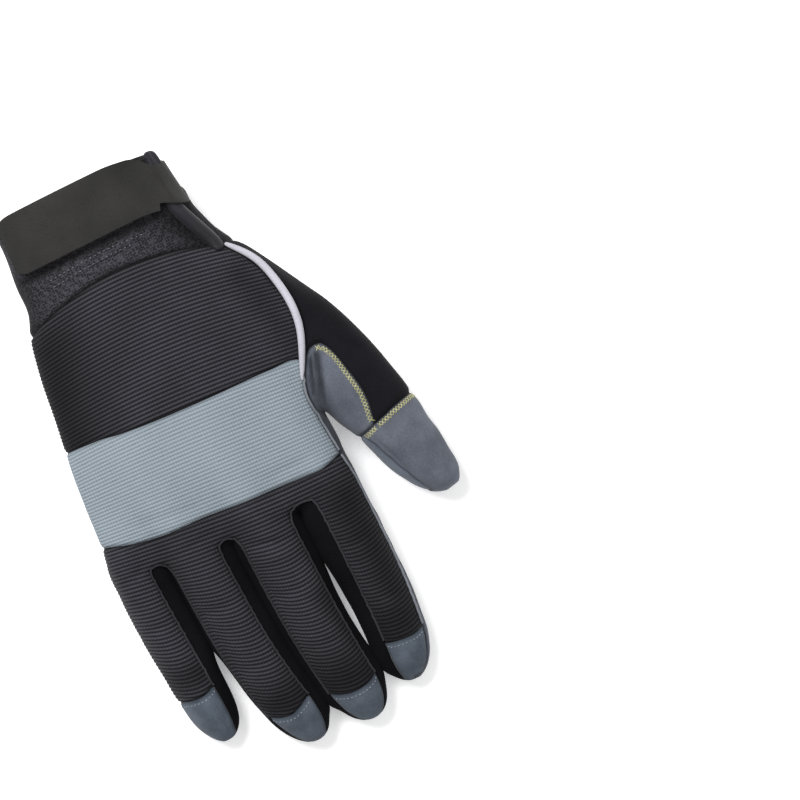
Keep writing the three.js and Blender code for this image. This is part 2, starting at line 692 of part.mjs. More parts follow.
// Panel: its faces of the net as the outside, the same faces pushed in by the wall, and a rim at its edges.
// The wall thins at tight corners, where its inside would fold over itself
function panelFrom(name, colour, roughness, wall) {
  const own = faces.filter((face) => face.panel === name);
  const edges = new Map();
  for (const face of own) {
    face.corners.forEach((a, i) => {
      const b = face.corners[(i + 1) % face.corners.length];
      edges.set(`${a} ${b}`, { a, b, normal: face.normal });
    });
  }
  const rim = [...edges.values()].filter((edge) => !edges.has(`${edge.b} ${edge.a}`));
  const inset = new Map();
  for (const edge of rim) {
    const along = points[edge.b].clone().sub(points[edge.a]).normalize();
    const inwards = edge.normal.clone().cross(along).normalize();
    for (const i of [edge.a, edge.b]) {
      inset.set(i, [...(inset.get(i) ?? []), inwards]);
    }
  }
  const order = [...new Set(own.flatMap((face) => face.corners))];
  const number = new Map(order.map((i, k) => [i, k]));
  const outer = order.map((i) => {
    const p = points[i].clone();
    const ways = inset.get(i);
    if (ways) {
      const sum = ways.reduce((total, way) => total.add(way), new THREE.Vector3()).normalize();
      const share = Math.max(0.45, sum.dot(ways[0]));
      p.addScaledVector(sum, seamGap / 2 / share);
    }
    return p;
  });
  const walls = order.map(() => wall);
  const pushed = (k) => outer[k].clone().addScaledVector(outward[order[k]], -walls[k]);
  for (let round = 0; round < foldRounds; round += 1) {
    for (const face of own) {
      const c = face.corners.map((i) => number.get(i));
      if (normalOf(c.map(pushed)).normalize().dot(face.normal) < foldLimit) {
        c.forEach((k) => {
          walls[k] *= foldThinning;
        });
      }
    }
  }
  const inner = order.map((i, k) => pushed(k));
  const count = order.length;
  const triangles = [];
  for (const face of own) {
    for (const triangle of splitFace(face.corners)) {
      const [a, b, c] = triangle.map((i) => number.get(i));
      triangles.push([a, b, c], [count + a, count + c, count + b]);
    }
  }
  for (const edge of rim) {
    const [a, b] = [number.get(edge.a), number.get(edge.b)];
    triangles.push([b, a, count + a], [b, count + a, count + b]);
  }
  return meshFrom(name, colour, roughness, [...outer, ...inner], triangles);
}

const glove = new THREE.Group();
const knitBlack = 0x16171a;
const suedeGrey = 0x7d8792;
const capGrey = 0x626d78;
const bandGrey = 0x9aa7ad;

const panels = table(
  ["name", "colour", "roughness", "wall"],
  [
    ["palm_panel", suedeGrey, 0.9, suedeWall],
    ["back_of_hand", knitBlack, 0.85, knitWall],
    ["knuckle_band", bandGrey, 0.85, knitWall],
    ["finger_back_panel", knitBlack, 0.85, knitWall],
    ["fingertip_cap_index", capGrey, 0.9, suedeWall],
    ["fingertip_cap_middle", capGrey, 0.9, suedeWall],
    ["fingertip_cap_ring", capGrey, 0.9, suedeWall],
    ["fingertip_cap_little", capGrey, 0.9, suedeWall],
    ["fourchette_index_middle", knitBlack, 0.85, knitWall],
    ["fourchette_middle_ring", knitBlack, 0.85, knitWall],
    ["fourchette_ring_little", knitBlack, 0.85, knitWall],
    ["thumb_saddle", suedeGrey, 0.9, suedeWall],
    ["thumb_front", suedeGrey, 0.9, suedeWall],
    ["thumb_back", 0x101114, 0.8, knitWall],
    ["thumb_cap", capGrey, 0.9, suedeWall],
    ["cuff", 0x24262a, 0.85, cuffWall],
  ],
);
for (const panel of panels) {
  glove.add(panelFrom(panel.name, panel.colour, panel.roughness, panel.wall));
}

// Smooth line through the rows of an outline
function smoothOutline(rows, steps) {
  const spots = rows.map((row) => new THREE.Vector3(row.x, row.y, 0));
  const curve = new THREE.CatmullRomCurve3(spots, false, "centripetal");
  return curve.getPoints(steps).map((p) => new THREE.Vector2(p.x, p.y));
}

function padFrom(name, outline) {
  const geometry = new THREE.ExtrudeGeometry(new THREE.Shape(outline), {
    depth: padHeight - 2 * padBevel,
    bevelThickness: padBevel,
    bevelSize: padBevel,
    bevelOffset: -padBevel,
    bevelSegments: 2,
    steps: 1,
  });
  const material = new THREE.MeshStandardMaterial({ color: suedeGrey, roughness: 0.9, metalness: 0 });
  const pad = new THREE.Mesh(geometry, material);
  pad.name = name;
  pad.position.z = padBevel;
  return pad;
}
const outerPadOutline = [...smoothOutline(outerPadOutside, 40), ...smoothOutline(outerPadInside, 28)];
glove.add(padFrom("palm_pad_outer", outerPadOutline));
glove.add(padFrom("palm_pad_inner", smoothOutline(innerPadOutline, 30)));

// Piping: a cord that lies on the edge of the back, outside the seam
const pipingRings = pipingRows.map((row, i) => {
  const spot = (k) => {
    const number = hand.back[k][lastColumn];
    return points[number].clone().addScaledVector(outward[number], row.radius + trimGap);
  };
  const centre = spot(row.row);
  const before = spot(Math.max(row.row - 1, 0));
  const after = spot(Math.min(row.row + 1, pipingRows.length - 1));
  const along = after.sub(before).normalize();
  const up = outward[hand.back[row.row][lastColumn]].clone();
  const side = up.clone().cross(along).normalize();
  return range(0, pipingSides).map((k) => {
    const angle = (-2 * Math.PI * k) / pipingSides;
    return centre.clone()
      .addScaledVector(side, row.radius * Math.cos(angle))
      .addScaledVector(up, row.radius * Math.sin(angle));
  });
});
glove.add(tubeFrom("thumb_piping", 0xc8c8d0, 0.7, pipingRings));

// Spot on the cuff's outside at a column, which may lie between two, and a y, and the way out there
function cuffSpot(column, y) {
  const low = Math.floor(column);
  const share = column - low;
  const ends = [low, low + 1].map((k) => {
    const line = cuffRings.map((ring) => ring[k]);
    let i = 0;
    while (i < line.length - 2 && points[line[i + 1]].y < y) {
      i += 1;
    }
    const [from, to] = [points[line[i]], points[line[i + 1]]];
    const t = (y - from.y) / (to.y - from.y);
    return {
      spot: from.clone().lerp(to, t),
      out: outward[line[i]].clone().lerp(outward[line[i + 1]], THREE.MathUtils.clamp(t, 0, 1)),
    };
  });
  return { spot: ends[0].spot.lerp(ends[1].spot, share), out: ends[0].out.lerp(ends[1].out, share).normalize() };
}

// Band that lies on the cuff: a ring round its section at each column
function bandFrom(name, colour, roughness, rows, thickness) {
  const rings = rows.map((row) => {
    const levels = range(0, bandLevels + 1).map((i) => mix(row.start, row.end, i / bandLevels));
    const inside = levels.map((y) => {
      const { spot, out } = cuffSpot(row.column, y);
      return spot.addScaledVector(out, row.lift);
    });
    const outside = levels.map((y) => {
      const { spot, out } = cuffSpot(row.column, y);
      return spot.addScaledVector(out, row.lift + thickness);
    });
    return [...inside, ...outside.reverse()];
  });
  return tubeFrom(name, colour, roughness, rings);
}
glove.add(bandFrom("wrist_strap", 0x37353a, 0.7, strapColumns, strapThickness));
glove.add(bandFrom("pull_tab", 0x5d646c, 0.5, tabColumns, tabThickness));

// Column of the cuff's back that passes over x at a y
function columnOver(x, y) {
  let column = 1;
  while (column < lastColumn + 3 && cuffSpot(column, y).spot.x > x) {
    column += 0.02;
  }
  return column;
}

const bindingRings = bindingRows.map((row) => {
  const under = [1, 0.5, 0, -0.5, -1].map((share) => {
    const { spot, out } = cuffSpot(columnOver(row.x + share * row.half, row.y), row.y);
    return spot.addScaledVector(out, bindingGap);
  });
  const { out } = cuffSpot(columnOver(row.x, row.y), row.y);
  const over = range(1, bindingSteps).map((k) => {
    const angle = (Math.PI * k) / bindingSteps;
    const across = under[4].clone().lerp(under[0], (1 - Math.cos(angle)) / 2);
    const arch = under[2].clone().sub(under[0].clone().lerp(under[4], 0.5)).dot(out);
    return across.addScaledVector(out, (row.height + arch) * Math.sin(angle));
  });
  return [...under, ...over];
});
glove.add(tubeFrom("slit_binding", 0x1d1f22, 0.8, bindingRings.reverse()));

// The origin is under the middle of the glove, on the surface that it lies on
const box = new THREE.Box3().setFromObject(glove);
const centre = box.getCenter(new THREE.Vector3());
glove.position.set(-centre.x, -centre.y, -box.min.z);

export default glove;
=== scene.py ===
import math

import bmesh
import bpy
from mathutils import Matrix, Vector, noise
from mathutils.bvhtree import BVHTree
from mathutils.kdtree import KDTree


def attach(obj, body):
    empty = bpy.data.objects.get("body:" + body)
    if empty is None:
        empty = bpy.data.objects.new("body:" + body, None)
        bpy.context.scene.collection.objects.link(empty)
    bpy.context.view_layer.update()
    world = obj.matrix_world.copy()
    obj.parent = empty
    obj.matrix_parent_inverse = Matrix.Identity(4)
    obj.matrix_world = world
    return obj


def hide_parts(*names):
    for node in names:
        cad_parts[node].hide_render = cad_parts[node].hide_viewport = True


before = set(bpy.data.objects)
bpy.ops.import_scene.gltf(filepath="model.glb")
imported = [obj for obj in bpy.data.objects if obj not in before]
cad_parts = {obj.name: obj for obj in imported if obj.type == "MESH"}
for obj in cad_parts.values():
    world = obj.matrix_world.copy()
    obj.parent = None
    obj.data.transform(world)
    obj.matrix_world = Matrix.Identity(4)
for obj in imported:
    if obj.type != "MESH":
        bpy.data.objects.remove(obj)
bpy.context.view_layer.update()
mm = 0.001


def tone(red, green, blue):
    # a colour given as on a screen, for the shader
    parts = [v / 255 for v in (red, green, blue)]
    return tuple(p / 12.92 if p < 0.04045 else ((p + 0.055) / 1.055) ** 2.4 for p in parts) + (1.0,)


# camera, floor and light, in metres; the floor's own glow keeps the shadows faint
stageLook = {
    "floorSize": 4.0,
    "floorColour": tone(246, 246, 246),
    "floorRoughness": 0.9,
    "floorGlow": 0.3,
    "skyColour": (1.0, 1.0, 1.0, 1.0),
    "skyStrength": 0.5,
    "turn": 153.7,
    "viewWidth": 0.32,
    "sensor": 36,
    "aim": (-0.0627, 0.0136, 0.012),
    "distance": 1.9,
    "lights": [
        {"name": "keyLight", "place": (0.35, -1.0, 1.25), "power": 34, "size": 0.8},
        {"name": "fillLight", "place": (-0.9, 0.5, 1.3), "power": 8, "size": 1.4},
    ],
}


def makeStage(look):
    bm = bmesh.new()
    bmesh.ops.create_grid(bm, x_segments=1, y_segments=1, size=look["floorSize"] / 2)
    floorMesh = bpy.data.meshes.new("floor")
    bm.to_mesh(floorMesh)
    bm.free()
    floor = bpy.data.objects.new("floor", floorMesh)
    bpy.context.scene.collection.objects.link(floor)
    material = bpy.data.materials.new("floorPaint")
    material.use_nodes = True
    shader = material.node_tree.nodes["Principled BSDF"]
    shader.inputs["Base Color"].default_value = look["floorColour"]
    shader.inputs["Roughness"].default_value = look["floorRoughness"]
    shader.inputs["Emission Color"].default_value = look["floorColour"]
    shader.inputs["Emission Strength"].default_value = look["floorGlow"]
    floorMesh.materials.append(material)

    aim = Vector(look["aim"])
    camera = bpy.data.objects.new("camera", bpy.data.cameras.new("camera"))
    bpy.context.scene.collection.objects.link(camera)
    camera.location = aim + Vector((0, 0, look["distance"]))
    camera.rotation_euler = (0, 0, math.radians(look["turn"]))
    camera.data.sensor_width = look["sensor"]
    camera.data.lens = look["sensor"] * look["distance"] / look["viewWidth"]
    bpy.context.scene.camera = camera

    for lamp in look["lights"]:
        light = bpy.data.objects.new(lamp["name"], bpy.data.lights.new(lamp["name"], "AREA"))
        light.data.energy = lamp["power"]
        light.data.size = lamp["size"]
        light.location = lamp["place"]
        light.rotation_euler = (aim - light.location).to_track_quat("-Z", "Y").to_euler()
        bpy.context.scene.collection.objects.link(light)

    world = bpy.data.worlds.new("paleRoom")
    world.use_nodes = True
    world.node_tree.nodes["Background"].inputs["Color"].default_value = look["skyColour"]
    world.node_tree.nodes["Background"].inputs["Strength"].default_value = look["skyStrength"]
    bpy.context.scene.world = world
    bpy.context.scene.view_settings.view_transform = "Standard"
    print("stage ready")


makeStage(stageLook)


# materials: every pattern reads the piece's own coordinates, in metres
# grain is in noise cells to the metre, relief is how deep each cloth's bump goes
grain = {
    "ribFuzz": 1500.0, "nap": 1400.0, "brush": 240.0, "dotCloud": 60.0, "webCloud": 45.0, "webFuzz": 1300.0,
    "thread": 700.0,
}
relief = {"rib": 0.2 * mm, "suede": 0.15 * mm, "dots": 0.3 * mm, "web": 0.12 * mm}


def grey(value):
    return (value, value, value, 1.0)


def between(low, high):
    # a ramp over a noise, which hardly leaves the places from 0.3 to 0.7
    return [(0.3, low), (0.7, high)]


def startMaterial(name, look):
    material = bpy.data.materials.new(name)
    material.use_nodes = True
    nodes = material.node_tree.nodes
    shader = nodes["Principled BSDF"]
    shader.inputs["Roughness"].default_value = look["roughness"]
    shader.inputs["Specular IOR Level"].default_value = look["specular"]
    shader.inputs["Sheen Weight"].default_value = look["sheen"]
    shader.inputs["Sheen Roughness"].default_value = 0.5
    coords = nodes.new("ShaderNodeTexCoord").outputs["Object"]
    return material, nodes, material.node_tree.links, coords


def addNoise(nodes, links, coords, scale, detail, stretch=None):
    texture = nodes.new("ShaderNodeTexNoise")
    texture.inputs["Scale"].default_value = scale
    texture.inputs["Detail"].default_value = detail
    if stretch:
        mapping = nodes.new("ShaderNodeMapping")
        mapping.inputs["Scale"].default_value = stretch
        links.new(coords, mapping.inputs["Vector"])
        coords = mapping.outputs["Vector"]
    links.new(coords, texture.inputs["Vector"])
    return texture.outputs["Fac"]


def addWave(nodes, links, coords, pitch, direction, wobble):
    # a wave texture of scale 1 has 20 waves in 2 pi metres along X
    texture = nodes.new("ShaderNodeTexWave")
    texture.bands_direction = direction
    texture.inputs["Scale"].default_value = 2 * math.pi / (20 * pitch)
    texture.inputs["Distortion"].default_value = wobble
    links.new(coords, texture.inputs["Vector"])
    return texture.outputs["Fac"]


def addLayer(nodes, layer):
    # a value that shapeSheet has written on every vertex
    attribute = nodes.new("ShaderNodeAttribute")
    attribute.attribute_name = layer
    return attribute.outputs["Fac"]


def addRamp(nodes, links, fac, stops):
    ramp = nodes.new("ShaderNodeValToRGB")
    while len(ramp.color_ramp.elements) < len(stops):
        ramp.color_ramp.elements.new(0.5)
    for element, (place, colour) in zip(ramp.color_ramp.elements, stops):
        element.position = place
        element.color = colour
    links.new(fac, ramp.inputs["Fac"])
    return ramp.outputs["Color"]


def paintCloth(nodes, links, ramps, paintedShadeTone=None):
    # the ramps' colours multiplied; along the piece's borders, in its hollows and along its shade lines, as
    # written in the "seam" layer, it darkens towards its shade tone: this is painted shade
    if paintedShadeTone:
        ramps = ramps + [(addLayer(nodes, "seam"), [(0.0, grey(1)), (1.0, paintedShadeTone)])]
    colours = [addRamp(nodes, links, fac, stops) for fac, stops in ramps]
    colour = colours[0]
    for other in colours[1:]:
        mix = nodes.new("ShaderNodeMix")
        mix.data_type = "RGBA"
        mix.blend_type = "MULTIPLY"
        mix.inputs["Factor"].default_value = 1.0
        links.new(colour, mix.inputs[6])
        links.new(other, mix.inputs[7])
        colour = mix.outputs[2]
    links.new(colour, nodes["Principled BSDF"].inputs["Base Color"])


def addMath(nodes, links, kind, one, two):
    node = nodes.new("ShaderNodeMath")
    node.operation = kind
    links.new(one, node.inputs[0])
    if isinstance(two, float):
        node.inputs[1].default_value = two
    else:
        links.new(two, node.inputs[1])
    return node.outputs[0]


def addBump(nodes, links, height, strength, distance):
    bump = nodes.new("ShaderNodeBump")
    bump.inputs["Strength"].default_value = strength
    bump.inputs["Distance"].default_value = distance
    links.new(height, bump.inputs["Height"])
    links.new(bump.outputs["Normal"], nodes["Principled BSDF"].inputs["Normal"])


def ribbedKnit(name, look):
    material, nodes, links, coords = startMaterial(name, look)
    rib = addLayer(nodes, "rib")
    columns = addWave(nodes, links, coords, look["columnPitch"], "X", 0.6)
    cloud = addNoise(nodes, links, coords, look["cloudScale"], 4.0)
    fuzz = addNoise(nodes, links, coords, grain["ribFuzz"], 2.0)
    # the rib ramp paints the rib crests lighter and the valleys darker: painted highlight and painted shade
    ramps = [
        (rib, look["ribShadeStops"]), (columns, look["columnStops"]), (cloud, look["cloudStops"]),
        (fuzz, look["fuzzStops"]),
    ]
    paintCloth(nodes, links, ramps, look["paintedShadeTone"])
    height = addMath(nodes, links, "MULTIPLY", columns, rib)
    height = addMath(nodes, links, "ADD", height, addMath(nodes, links, "MULTIPLY", fuzz, 0.5))
    addBump(nodes, links, height, look["bump"], relief["rib"])
    return material


def suede(name, look):
    material, nodes, links, coords = startMaterial(name, look)
    nap = addNoise(nodes, links, coords, grain["nap"], 4.0)
    mottle = addNoise(nodes, links, coords, look["mottleScale"], 5.0)
    brush = addNoise(nodes, links, coords, grain["brush"], 3.0, (1.0, 0.35, 1.0))
    ramps = [(mottle, look["mottleStops"]), (nap, look["napStops"]), (brush, look["brushStops"])]
    paintCloth(nodes, links, ramps, look["paintedShadeTone"])
    addBump(nodes, links, addMath(nodes, links, "ADD", nap, brush), look["bump"], relief["suede"])
    return material


def dottedKnit(name, look):
    material, nodes, links, coords = startMaterial(name, look)
    texture = nodes.new("ShaderNodeTexVoronoi")
    texture.inputs["Scale"].default_value = 1 / look["dotPitch"]
    texture.inputs["Randomness"].default_value = 0.55
    links.new(coords, texture.inputs["Vector"])
    dots = texture.outputs["Distance"]
    cloud = addNoise(nodes, links, coords, grain["dotCloud"], 4.0)
    paintCloth(nodes, links, [(dots, look["dotStops"]), (cloud, look["cloudStops"])], look["paintedShadeTone"])
    addBump(nodes, links, dots, look["bump"], relief["dots"])
    return material


def webbing(name, look):
    material, nodes, links, coords = startMaterial(name, look)
    warp = addWave(nodes, links, coords, look["pitch"], "DIAGONAL", 0.4)
    cloud = addNoise(nodes, links, coords, grain["webCloud"], 5.0)
    fuzz = addNoise(nodes, links, coords, grain["webFuzz"], 2.0)
    paintCloth(nodes, links, [(cloud, look["cloudStops"]), (fuzz, look["fuzzStops"])])
    addBump(nodes, links, addMath(nodes, links, "ADD", warp, fuzz), look["bump"], relief["web"])
    return material


def thread(name, look):
    material, nodes, links, coords = startMaterial(name, look)
    shade = addNoise(nodes, links, coords, grain["thread"], 2.0)
    paintCloth(nodes, links, [(shade, look["shadeStops"])])
    return material


# in the looks below, the rib ramp paints rib crests lighter and valleys darker as painted highlight and
# painted shade, and the shade tone is the darkest of the painted shade along seams and shade lines
ribbedLooks = {
    "knitBlack": {
        "roughness": 0.8, "sheen": 0.03, "specular": 0.1, "columnPitch": 1.1 * mm, "cloudScale": 55.0,
        "bump": 0.5,
        "ribShadeStops": [(0.0, tone(15, 15, 18)), (0.5, tone(34, 33, 38)), (1.0, tone(66, 65, 71))],
        "columnStops": [(0.0, grey(0.72)), (1.0, grey(1.0))],
        "cloudStops": between(grey(0.82), grey(1.08)),
        "fuzzStops": between(grey(0.8), grey(1.15)),
        "paintedShadeTone": grey(0.3),
    },
    "knitBand": {
        "roughness": 0.85, "sheen": 0.05, "specular": 0.15, "columnPitch": 1.15 * mm, "cloudScale": 40.0,
        "bump": 0.6,
        "ribShadeStops": [(0.0, tone(104, 112, 119)), (0.5, tone(128, 138, 146)), (1.0, tone(142, 152, 160))],
        "columnStops": [(0.0, grey(0.84)), (1.0, grey(1.0))],
        "cloudStops": between(grey(0.94), grey(1.02)),
        "fuzzStops": between(grey(0.92), grey(1.05)),
        "paintedShadeTone": grey(0.6),
    },
}
suedeLooks = {
    "suedeGrey": {
        "roughness": 0.9, "sheen": 0.12, "specular": 0.12, "mottleScale": 90.0, "bump": 0.35,
        "mottleStops": between(tone(96, 104, 116), tone(114, 122, 135)),
        "napStops": between(grey(0.86), grey(1.06)),
        "brushStops": between(grey(0.94), grey(1.04)),
        "paintedShadeTone": grey(0.45),
    },
    "suedeCap": {
        "roughness": 0.9, "sheen": 0.08, "specular": 0.1, "mottleScale": 120.0, "bump": 0.35,
        "mottleStops": between(tone(66, 73, 82), tone(84, 92, 103)),
        "napStops": between(grey(0.84), grey(1.08)),
        "brushStops": between(grey(0.92), grey(1.05)),
        "paintedShadeTone": grey(0.4),
    },
    "suedeThumb": {
        "roughness": 0.9, "sheen": 0.1, "specular": 0.1, "mottleScale": 70.0, "bump": 0.4,
        "mottleStops": between(tone(78, 82, 91), tone(98, 103, 114)),
        "napStops": between(grey(0.84), grey(1.08)),
        "brushStops": between(grey(0.9), grey(1.05)),
        "paintedShadeTone": grey(0.25),
    },
}
dottedLooks = {
    "cuffKnit": {
        "roughness": 0.85, "sheen": 0.03, "specular": 0.1, "dotPitch": 1.0 * mm, "bump": 0.6,
        "dotStops": [(0.0, tone(16, 16, 18)), (0.3, tone(30, 30, 33)), (0.75, tone(64, 63, 69))],
        "cloudStops": between(grey(0.85), grey(1.1)),
        "paintedShadeTone": grey(0.16),
    },
}
webbingLooks = {
    "thumbKnit": {
        "roughness": 0.8, "sheen": 0.02, "specular": 0.06, "pitch": 0.7 * mm, "bump": 0.35,
        "cloudStops": between(tone(13, 13, 16), tone(21, 20, 25)),
        "fuzzStops": between(grey(0.85), grey(1.1)),
    },
    "fourchetteKnit": {
        "roughness": 0.85, "sheen": 0.01, "specular": 0.04, "pitch": 0.7 * mm, "bump": 0.35,
        "cloudStops": between(tone(8, 8, 10), tone(14, 14, 17)),
        "fuzzStops": between(grey(0.85), grey(1.1)),
    },
    "strapWeb": {
        "roughness": 0.7, "sheen": 0.04, "specular": 0.15, "pitch": 0.9 * mm, "bump": 0.12,
        "cloudStops": between(tone(29, 29, 28), tone(42, 41, 40)),
        "fuzzStops": between(grey(0.88), grey(1.1)),
    },
    "bindingKnit": {
        "roughness": 0.6, "sheen": 0.06, "specular": 0.3, "pitch": 0.8 * mm, "bump": 0.3,
        "cloudStops": between(tone(15, 14, 19), tone(26, 25, 33)),
        "fuzzStops": between(grey(0.85), grey(1.1)),
    },
    "pipingCloth": {
        "roughness": 0.7, "sheen": 0.05, "specular": 0.15, "pitch": 0.7 * mm, "bump": 0.35,
        "cloudStops": between(tone(160, 159, 167), tone(178, 177, 186)),
        "fuzzStops": between(grey(0.93), grey(1.04)),
    },
    "rolledKnit": {
        "roughness": 0.75, "sheen": 0.04, "specular": 0.15, "pitch": 0.7 * mm, "bump": 0.3,
        "cloudStops": between(tone(30, 30, 34), tone(46, 46, 51)),
        "fuzzStops": between(grey(0.85), grey(1.1)),
    },
    "edgeWelt": {
        "roughness": 0.7, "sheen": 0.05, "specular": 0.15, "pitch": 0.7 * mm, "bump": 0.3,
        "cloudStops": between(tone(96, 100, 106), tone(120, 124, 130)),
        "fuzzStops": between(grey(0.9), grey(1.05)),
    },
    "tabRubber": {
        "roughness": 0.45, "sheen": 0.0, "specular": 0.4, "pitch": 3.0 * mm, "bump": 0.06,
        "cloudStops": between(tone(62, 63, 68), tone(74, 75, 80)),
        "fuzzStops": between(grey(0.95), grey(1.03)),
    },
}
threadTones = {
    "yellowThread": (tone(134, 132, 92), tone(176, 174, 132)),
    "greyThread": (tone(100, 106, 112), tone(146, 152, 158)),
    "cuffThread": (tone(74, 73, 80), tone(104, 103, 110)),
}
threadLooks = {
    name: {"roughness": 0.6, "sheen": 0.1, "specular": 0.1, "shadeStops": between(*tones)}
    for name, tones in threadTones.items()
}
clothKinds = [
    (ribbedKnit, ribbedLooks), (suede, suedeLooks), (dottedKnit, dottedLooks), (webbing, webbingLooks),
    (thread, threadLooks),
]
materials = {name: weave(name, look) for weave, looks in clothKinds for name, look in looks.items()}
print("materials ready:", len(materials))


# places on the glove: millimetres across towards the thumb and along towards the fingertips,
# counted so that the frame's origin lies at this place
gloveStart = {"across": 8.4155, "along": 120.6321}


def acrossOf(x):
    return gloveStart["across"] - x / mm


def alongOf(y):
    return y / mm + gloveStart["along"]


def onGlove(across, along, z=0.0):
    return Vector(((gloveStart["across"] - across) * mm, (along - gloveStart["along"]) * mm, z))


def rise(value, start, end):
    # 0 up to the start and 1 from the end on; the end may be the smaller one
    return min(1.0, max(0.0, (value - start) / (end - start)))


capPlaces = {
    "fingertip_cap_index": (27.2, 236.5), "fingertip_cap_middle": (5.6, 243.2),
    "fingertip_cap_ring": (-18.4, 241.2), "fingertip_cap_little": (-50.3, 225.2),
}
thumbTip = (72.0, 172.5)
tips = [*capPlaces.values(), thumbTip]
noFade = 0.01
skinLook = {
    "weld": 0.6,
    "smoothLevels": 2,
    "swell": 0.3,
    "tipSwell": 0.9,
    "tipReach": 15.0,
    "capReach": 4.5,
    "capFacing": 0.1,
    "bulges": [{"at": (71.8, 172.5), "reach": 8.0, "lift": 1.6}],
    "smoothRounds": 24,
    "smoothReach": 4.0,
    "smoothed": [
        ("back_of_hand", "knuckle_band"), ("knuckle_band", "finger_back_panel"),
        ("thumb_saddle", "thumb_back"), ("thumb_cap", "thumb_back"), ("thumb_cap", "thumb_saddle"),
        ("cuff", "back_of_hand"), ("fingertip_cap_index", "fourchette_index_middle"),
        ("fingertip_cap_middle", "fourchette_index_middle"),
        ("fingertip_cap_middle", "fourchette_middle_ring"), ("fingertip_cap_ring", "fourchette_middle_ring"),
        ("fingertip_cap_ring", "fourchette_ring_little"), ("fingertip_cap_little", "fourchette_ring_little"),
    ],
    "slid": [
        {"seam": ("back_of_hand", "knuckle_band"), "reach": 7.0, "byAcross": True,
         "fade": (8, noFade), "rows": [
            (-44.0, 95.9), (-34.0, 97.3), (-20.7, 98.7), (-6.1, 99.6), (8.7, 100.2), (23.7, 100.5),
            (31.5, 100.9), (35.7, 101.5), (39.5, 102.9), (42.8, 105.6)]},
        {"seam": ("knuckle_band", "finger_back_panel"), "reach": 9.0, "byAcross": True,
         "fade": (6, noFade), "rows": [
            (-60.0, 135.3), (-52.5, 137.8), (-45.2, 139.9), (-39.8, 140.9), (-34.8, 141.2), (-28.0, 141.4),
            (-19.1, 141.8), (-10.4, 142.8), (-0.5, 143.5), (9.5, 144.0), (17.4, 144.7), (27.8, 145.3),
            (33.0, 144.8), (37.5, 143.6), (42.5, 141.9)]},
        {"seam": ("thumb_saddle", "thumb_back"), "reach": 14.0, "byAcross": False, "rows": [
            (44.9, 102.3), (47.8, 99.9), (52.0, 99.4), (54.2, 101.6), (56.3, 106.7), (58.2, 115.4),
            (59.5, 122.1), (59.7, 128.7), (58.6, 135.2), (57.4, 138.5)]},
        {"seam": ("fingertip_cap_index", "finger_back_panel"), "reach": 6.0, "byAcross": True, "rows": [
            (22.0, 218.7), (26.7, 219.9), (32.4, 220.6), (36.8, 220.2), (41.1, 218.0)]},
        {"seam": ("fingertip_cap_middle", "finger_back_panel"), "reach": 7.0, "byAcross": True, "rows": [
            (-7.8, 225.8), (-4.1, 228.7), (0.8, 230.5), (6.0, 230.7), (10.8, 229.5), (14.8, 227.0)]},
        {"seam": ("fingertip_cap_ring", "finger_back_panel"), "reach": 7.0, "byAcross": True, "rows": [
            (-33.5, 224.0), (-29.0, 227.0), (-24.3, 228.0), (-19.3, 226.6), (-13.5, 223.4)]},
        {"seam": ("fingertip_cap_little", "finger_back_panel"), "reach": 6.0, "byAcross": True, "rows": [
            (-62.5, 203.8), (-58.1, 205.0), (-54.0, 205.6), (-50.0, 205.2), (-46.0, 203.6)]},
    ],
    "walls": {
        "palm_panel": 1.4, "back_of_hand": 1.2, "knuckle_band": 1.2, "finger_back_panel": 1.2,
        "fingertip_cap_index": 1.4, "fingertip_cap_middle": 1.4, "fingertip_cap_ring": 1.4,
        "fingertip_cap_little": 1.4, "fourchette_index_middle": 1.2, "fourchette_middle_ring": 1.2,
        "fourchette_ring_little": 1.2, "thumb_saddle": 1.4, "thumb_front": 1.4, "thumb_back": 1.2,
        "thumb_cap": 1.4, "cuff": 2.4,
    },
}
panelNames = list(skinLook["walls"])

# how the loose triangles of a CAD node are merged, probed and joined to larger faces, in metres and radians
cadLook = {
    "merge": 1e-6, "rimMatch": 1e-6, "rimShrink": 0.8, "rimSteps": 6, "probeStep": 1e-5, "mostHits": 60,
    "panelAngle": 1.3, "trimAngle": 0.7, "shapeAngle": 3.1,
}


def cadMesh(node):
    bm = bmesh.new()
    bm.from_mesh(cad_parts[node].data)
    bmesh.ops.remove_doubles(bm, verts=bm.verts, dist=cadLook["merge"])
    return bm


def joinFaces(bm, angle):
    bmesh.ops.join_triangles(
        bm, faces=bm.faces, angle_face_threshold=angle, angle_shape_threshold=cadLook["shapeAngle"],
    )


def treeOf(meshes):
    whole = bmesh.new()
    for mesh in meshes:
        whole.from_mesh(mesh)
    tree = BVHTree.FromBMesh(whole)
    whole.free()
    return tree


def countHits(tree, start, way):
    # how many walls a straight line passes, up to a number that stops it
    count = 0
    spot = start + way * cadLook["probeStep"]
    while count < cadLook["mostHits"]:
        hit = tree.ray_cast(spot, way)[0]
        if hit is None:
            break
        count += 1
        spot = hit + way * cadLook["probeStep"]
    return count


def splitSheets(bm):
    left = set(bm.faces)
    sheets = []
    while left:
        seed = left.pop()
        group = [seed]
        for face in group:
            for edge in face.edges:
                for other in edge.link_faces:
                    if other in left:
                        left.discard(other)
                        group.append(other)
        sheets.append(group)
    return sorted(sheets, key=len, reverse=True)


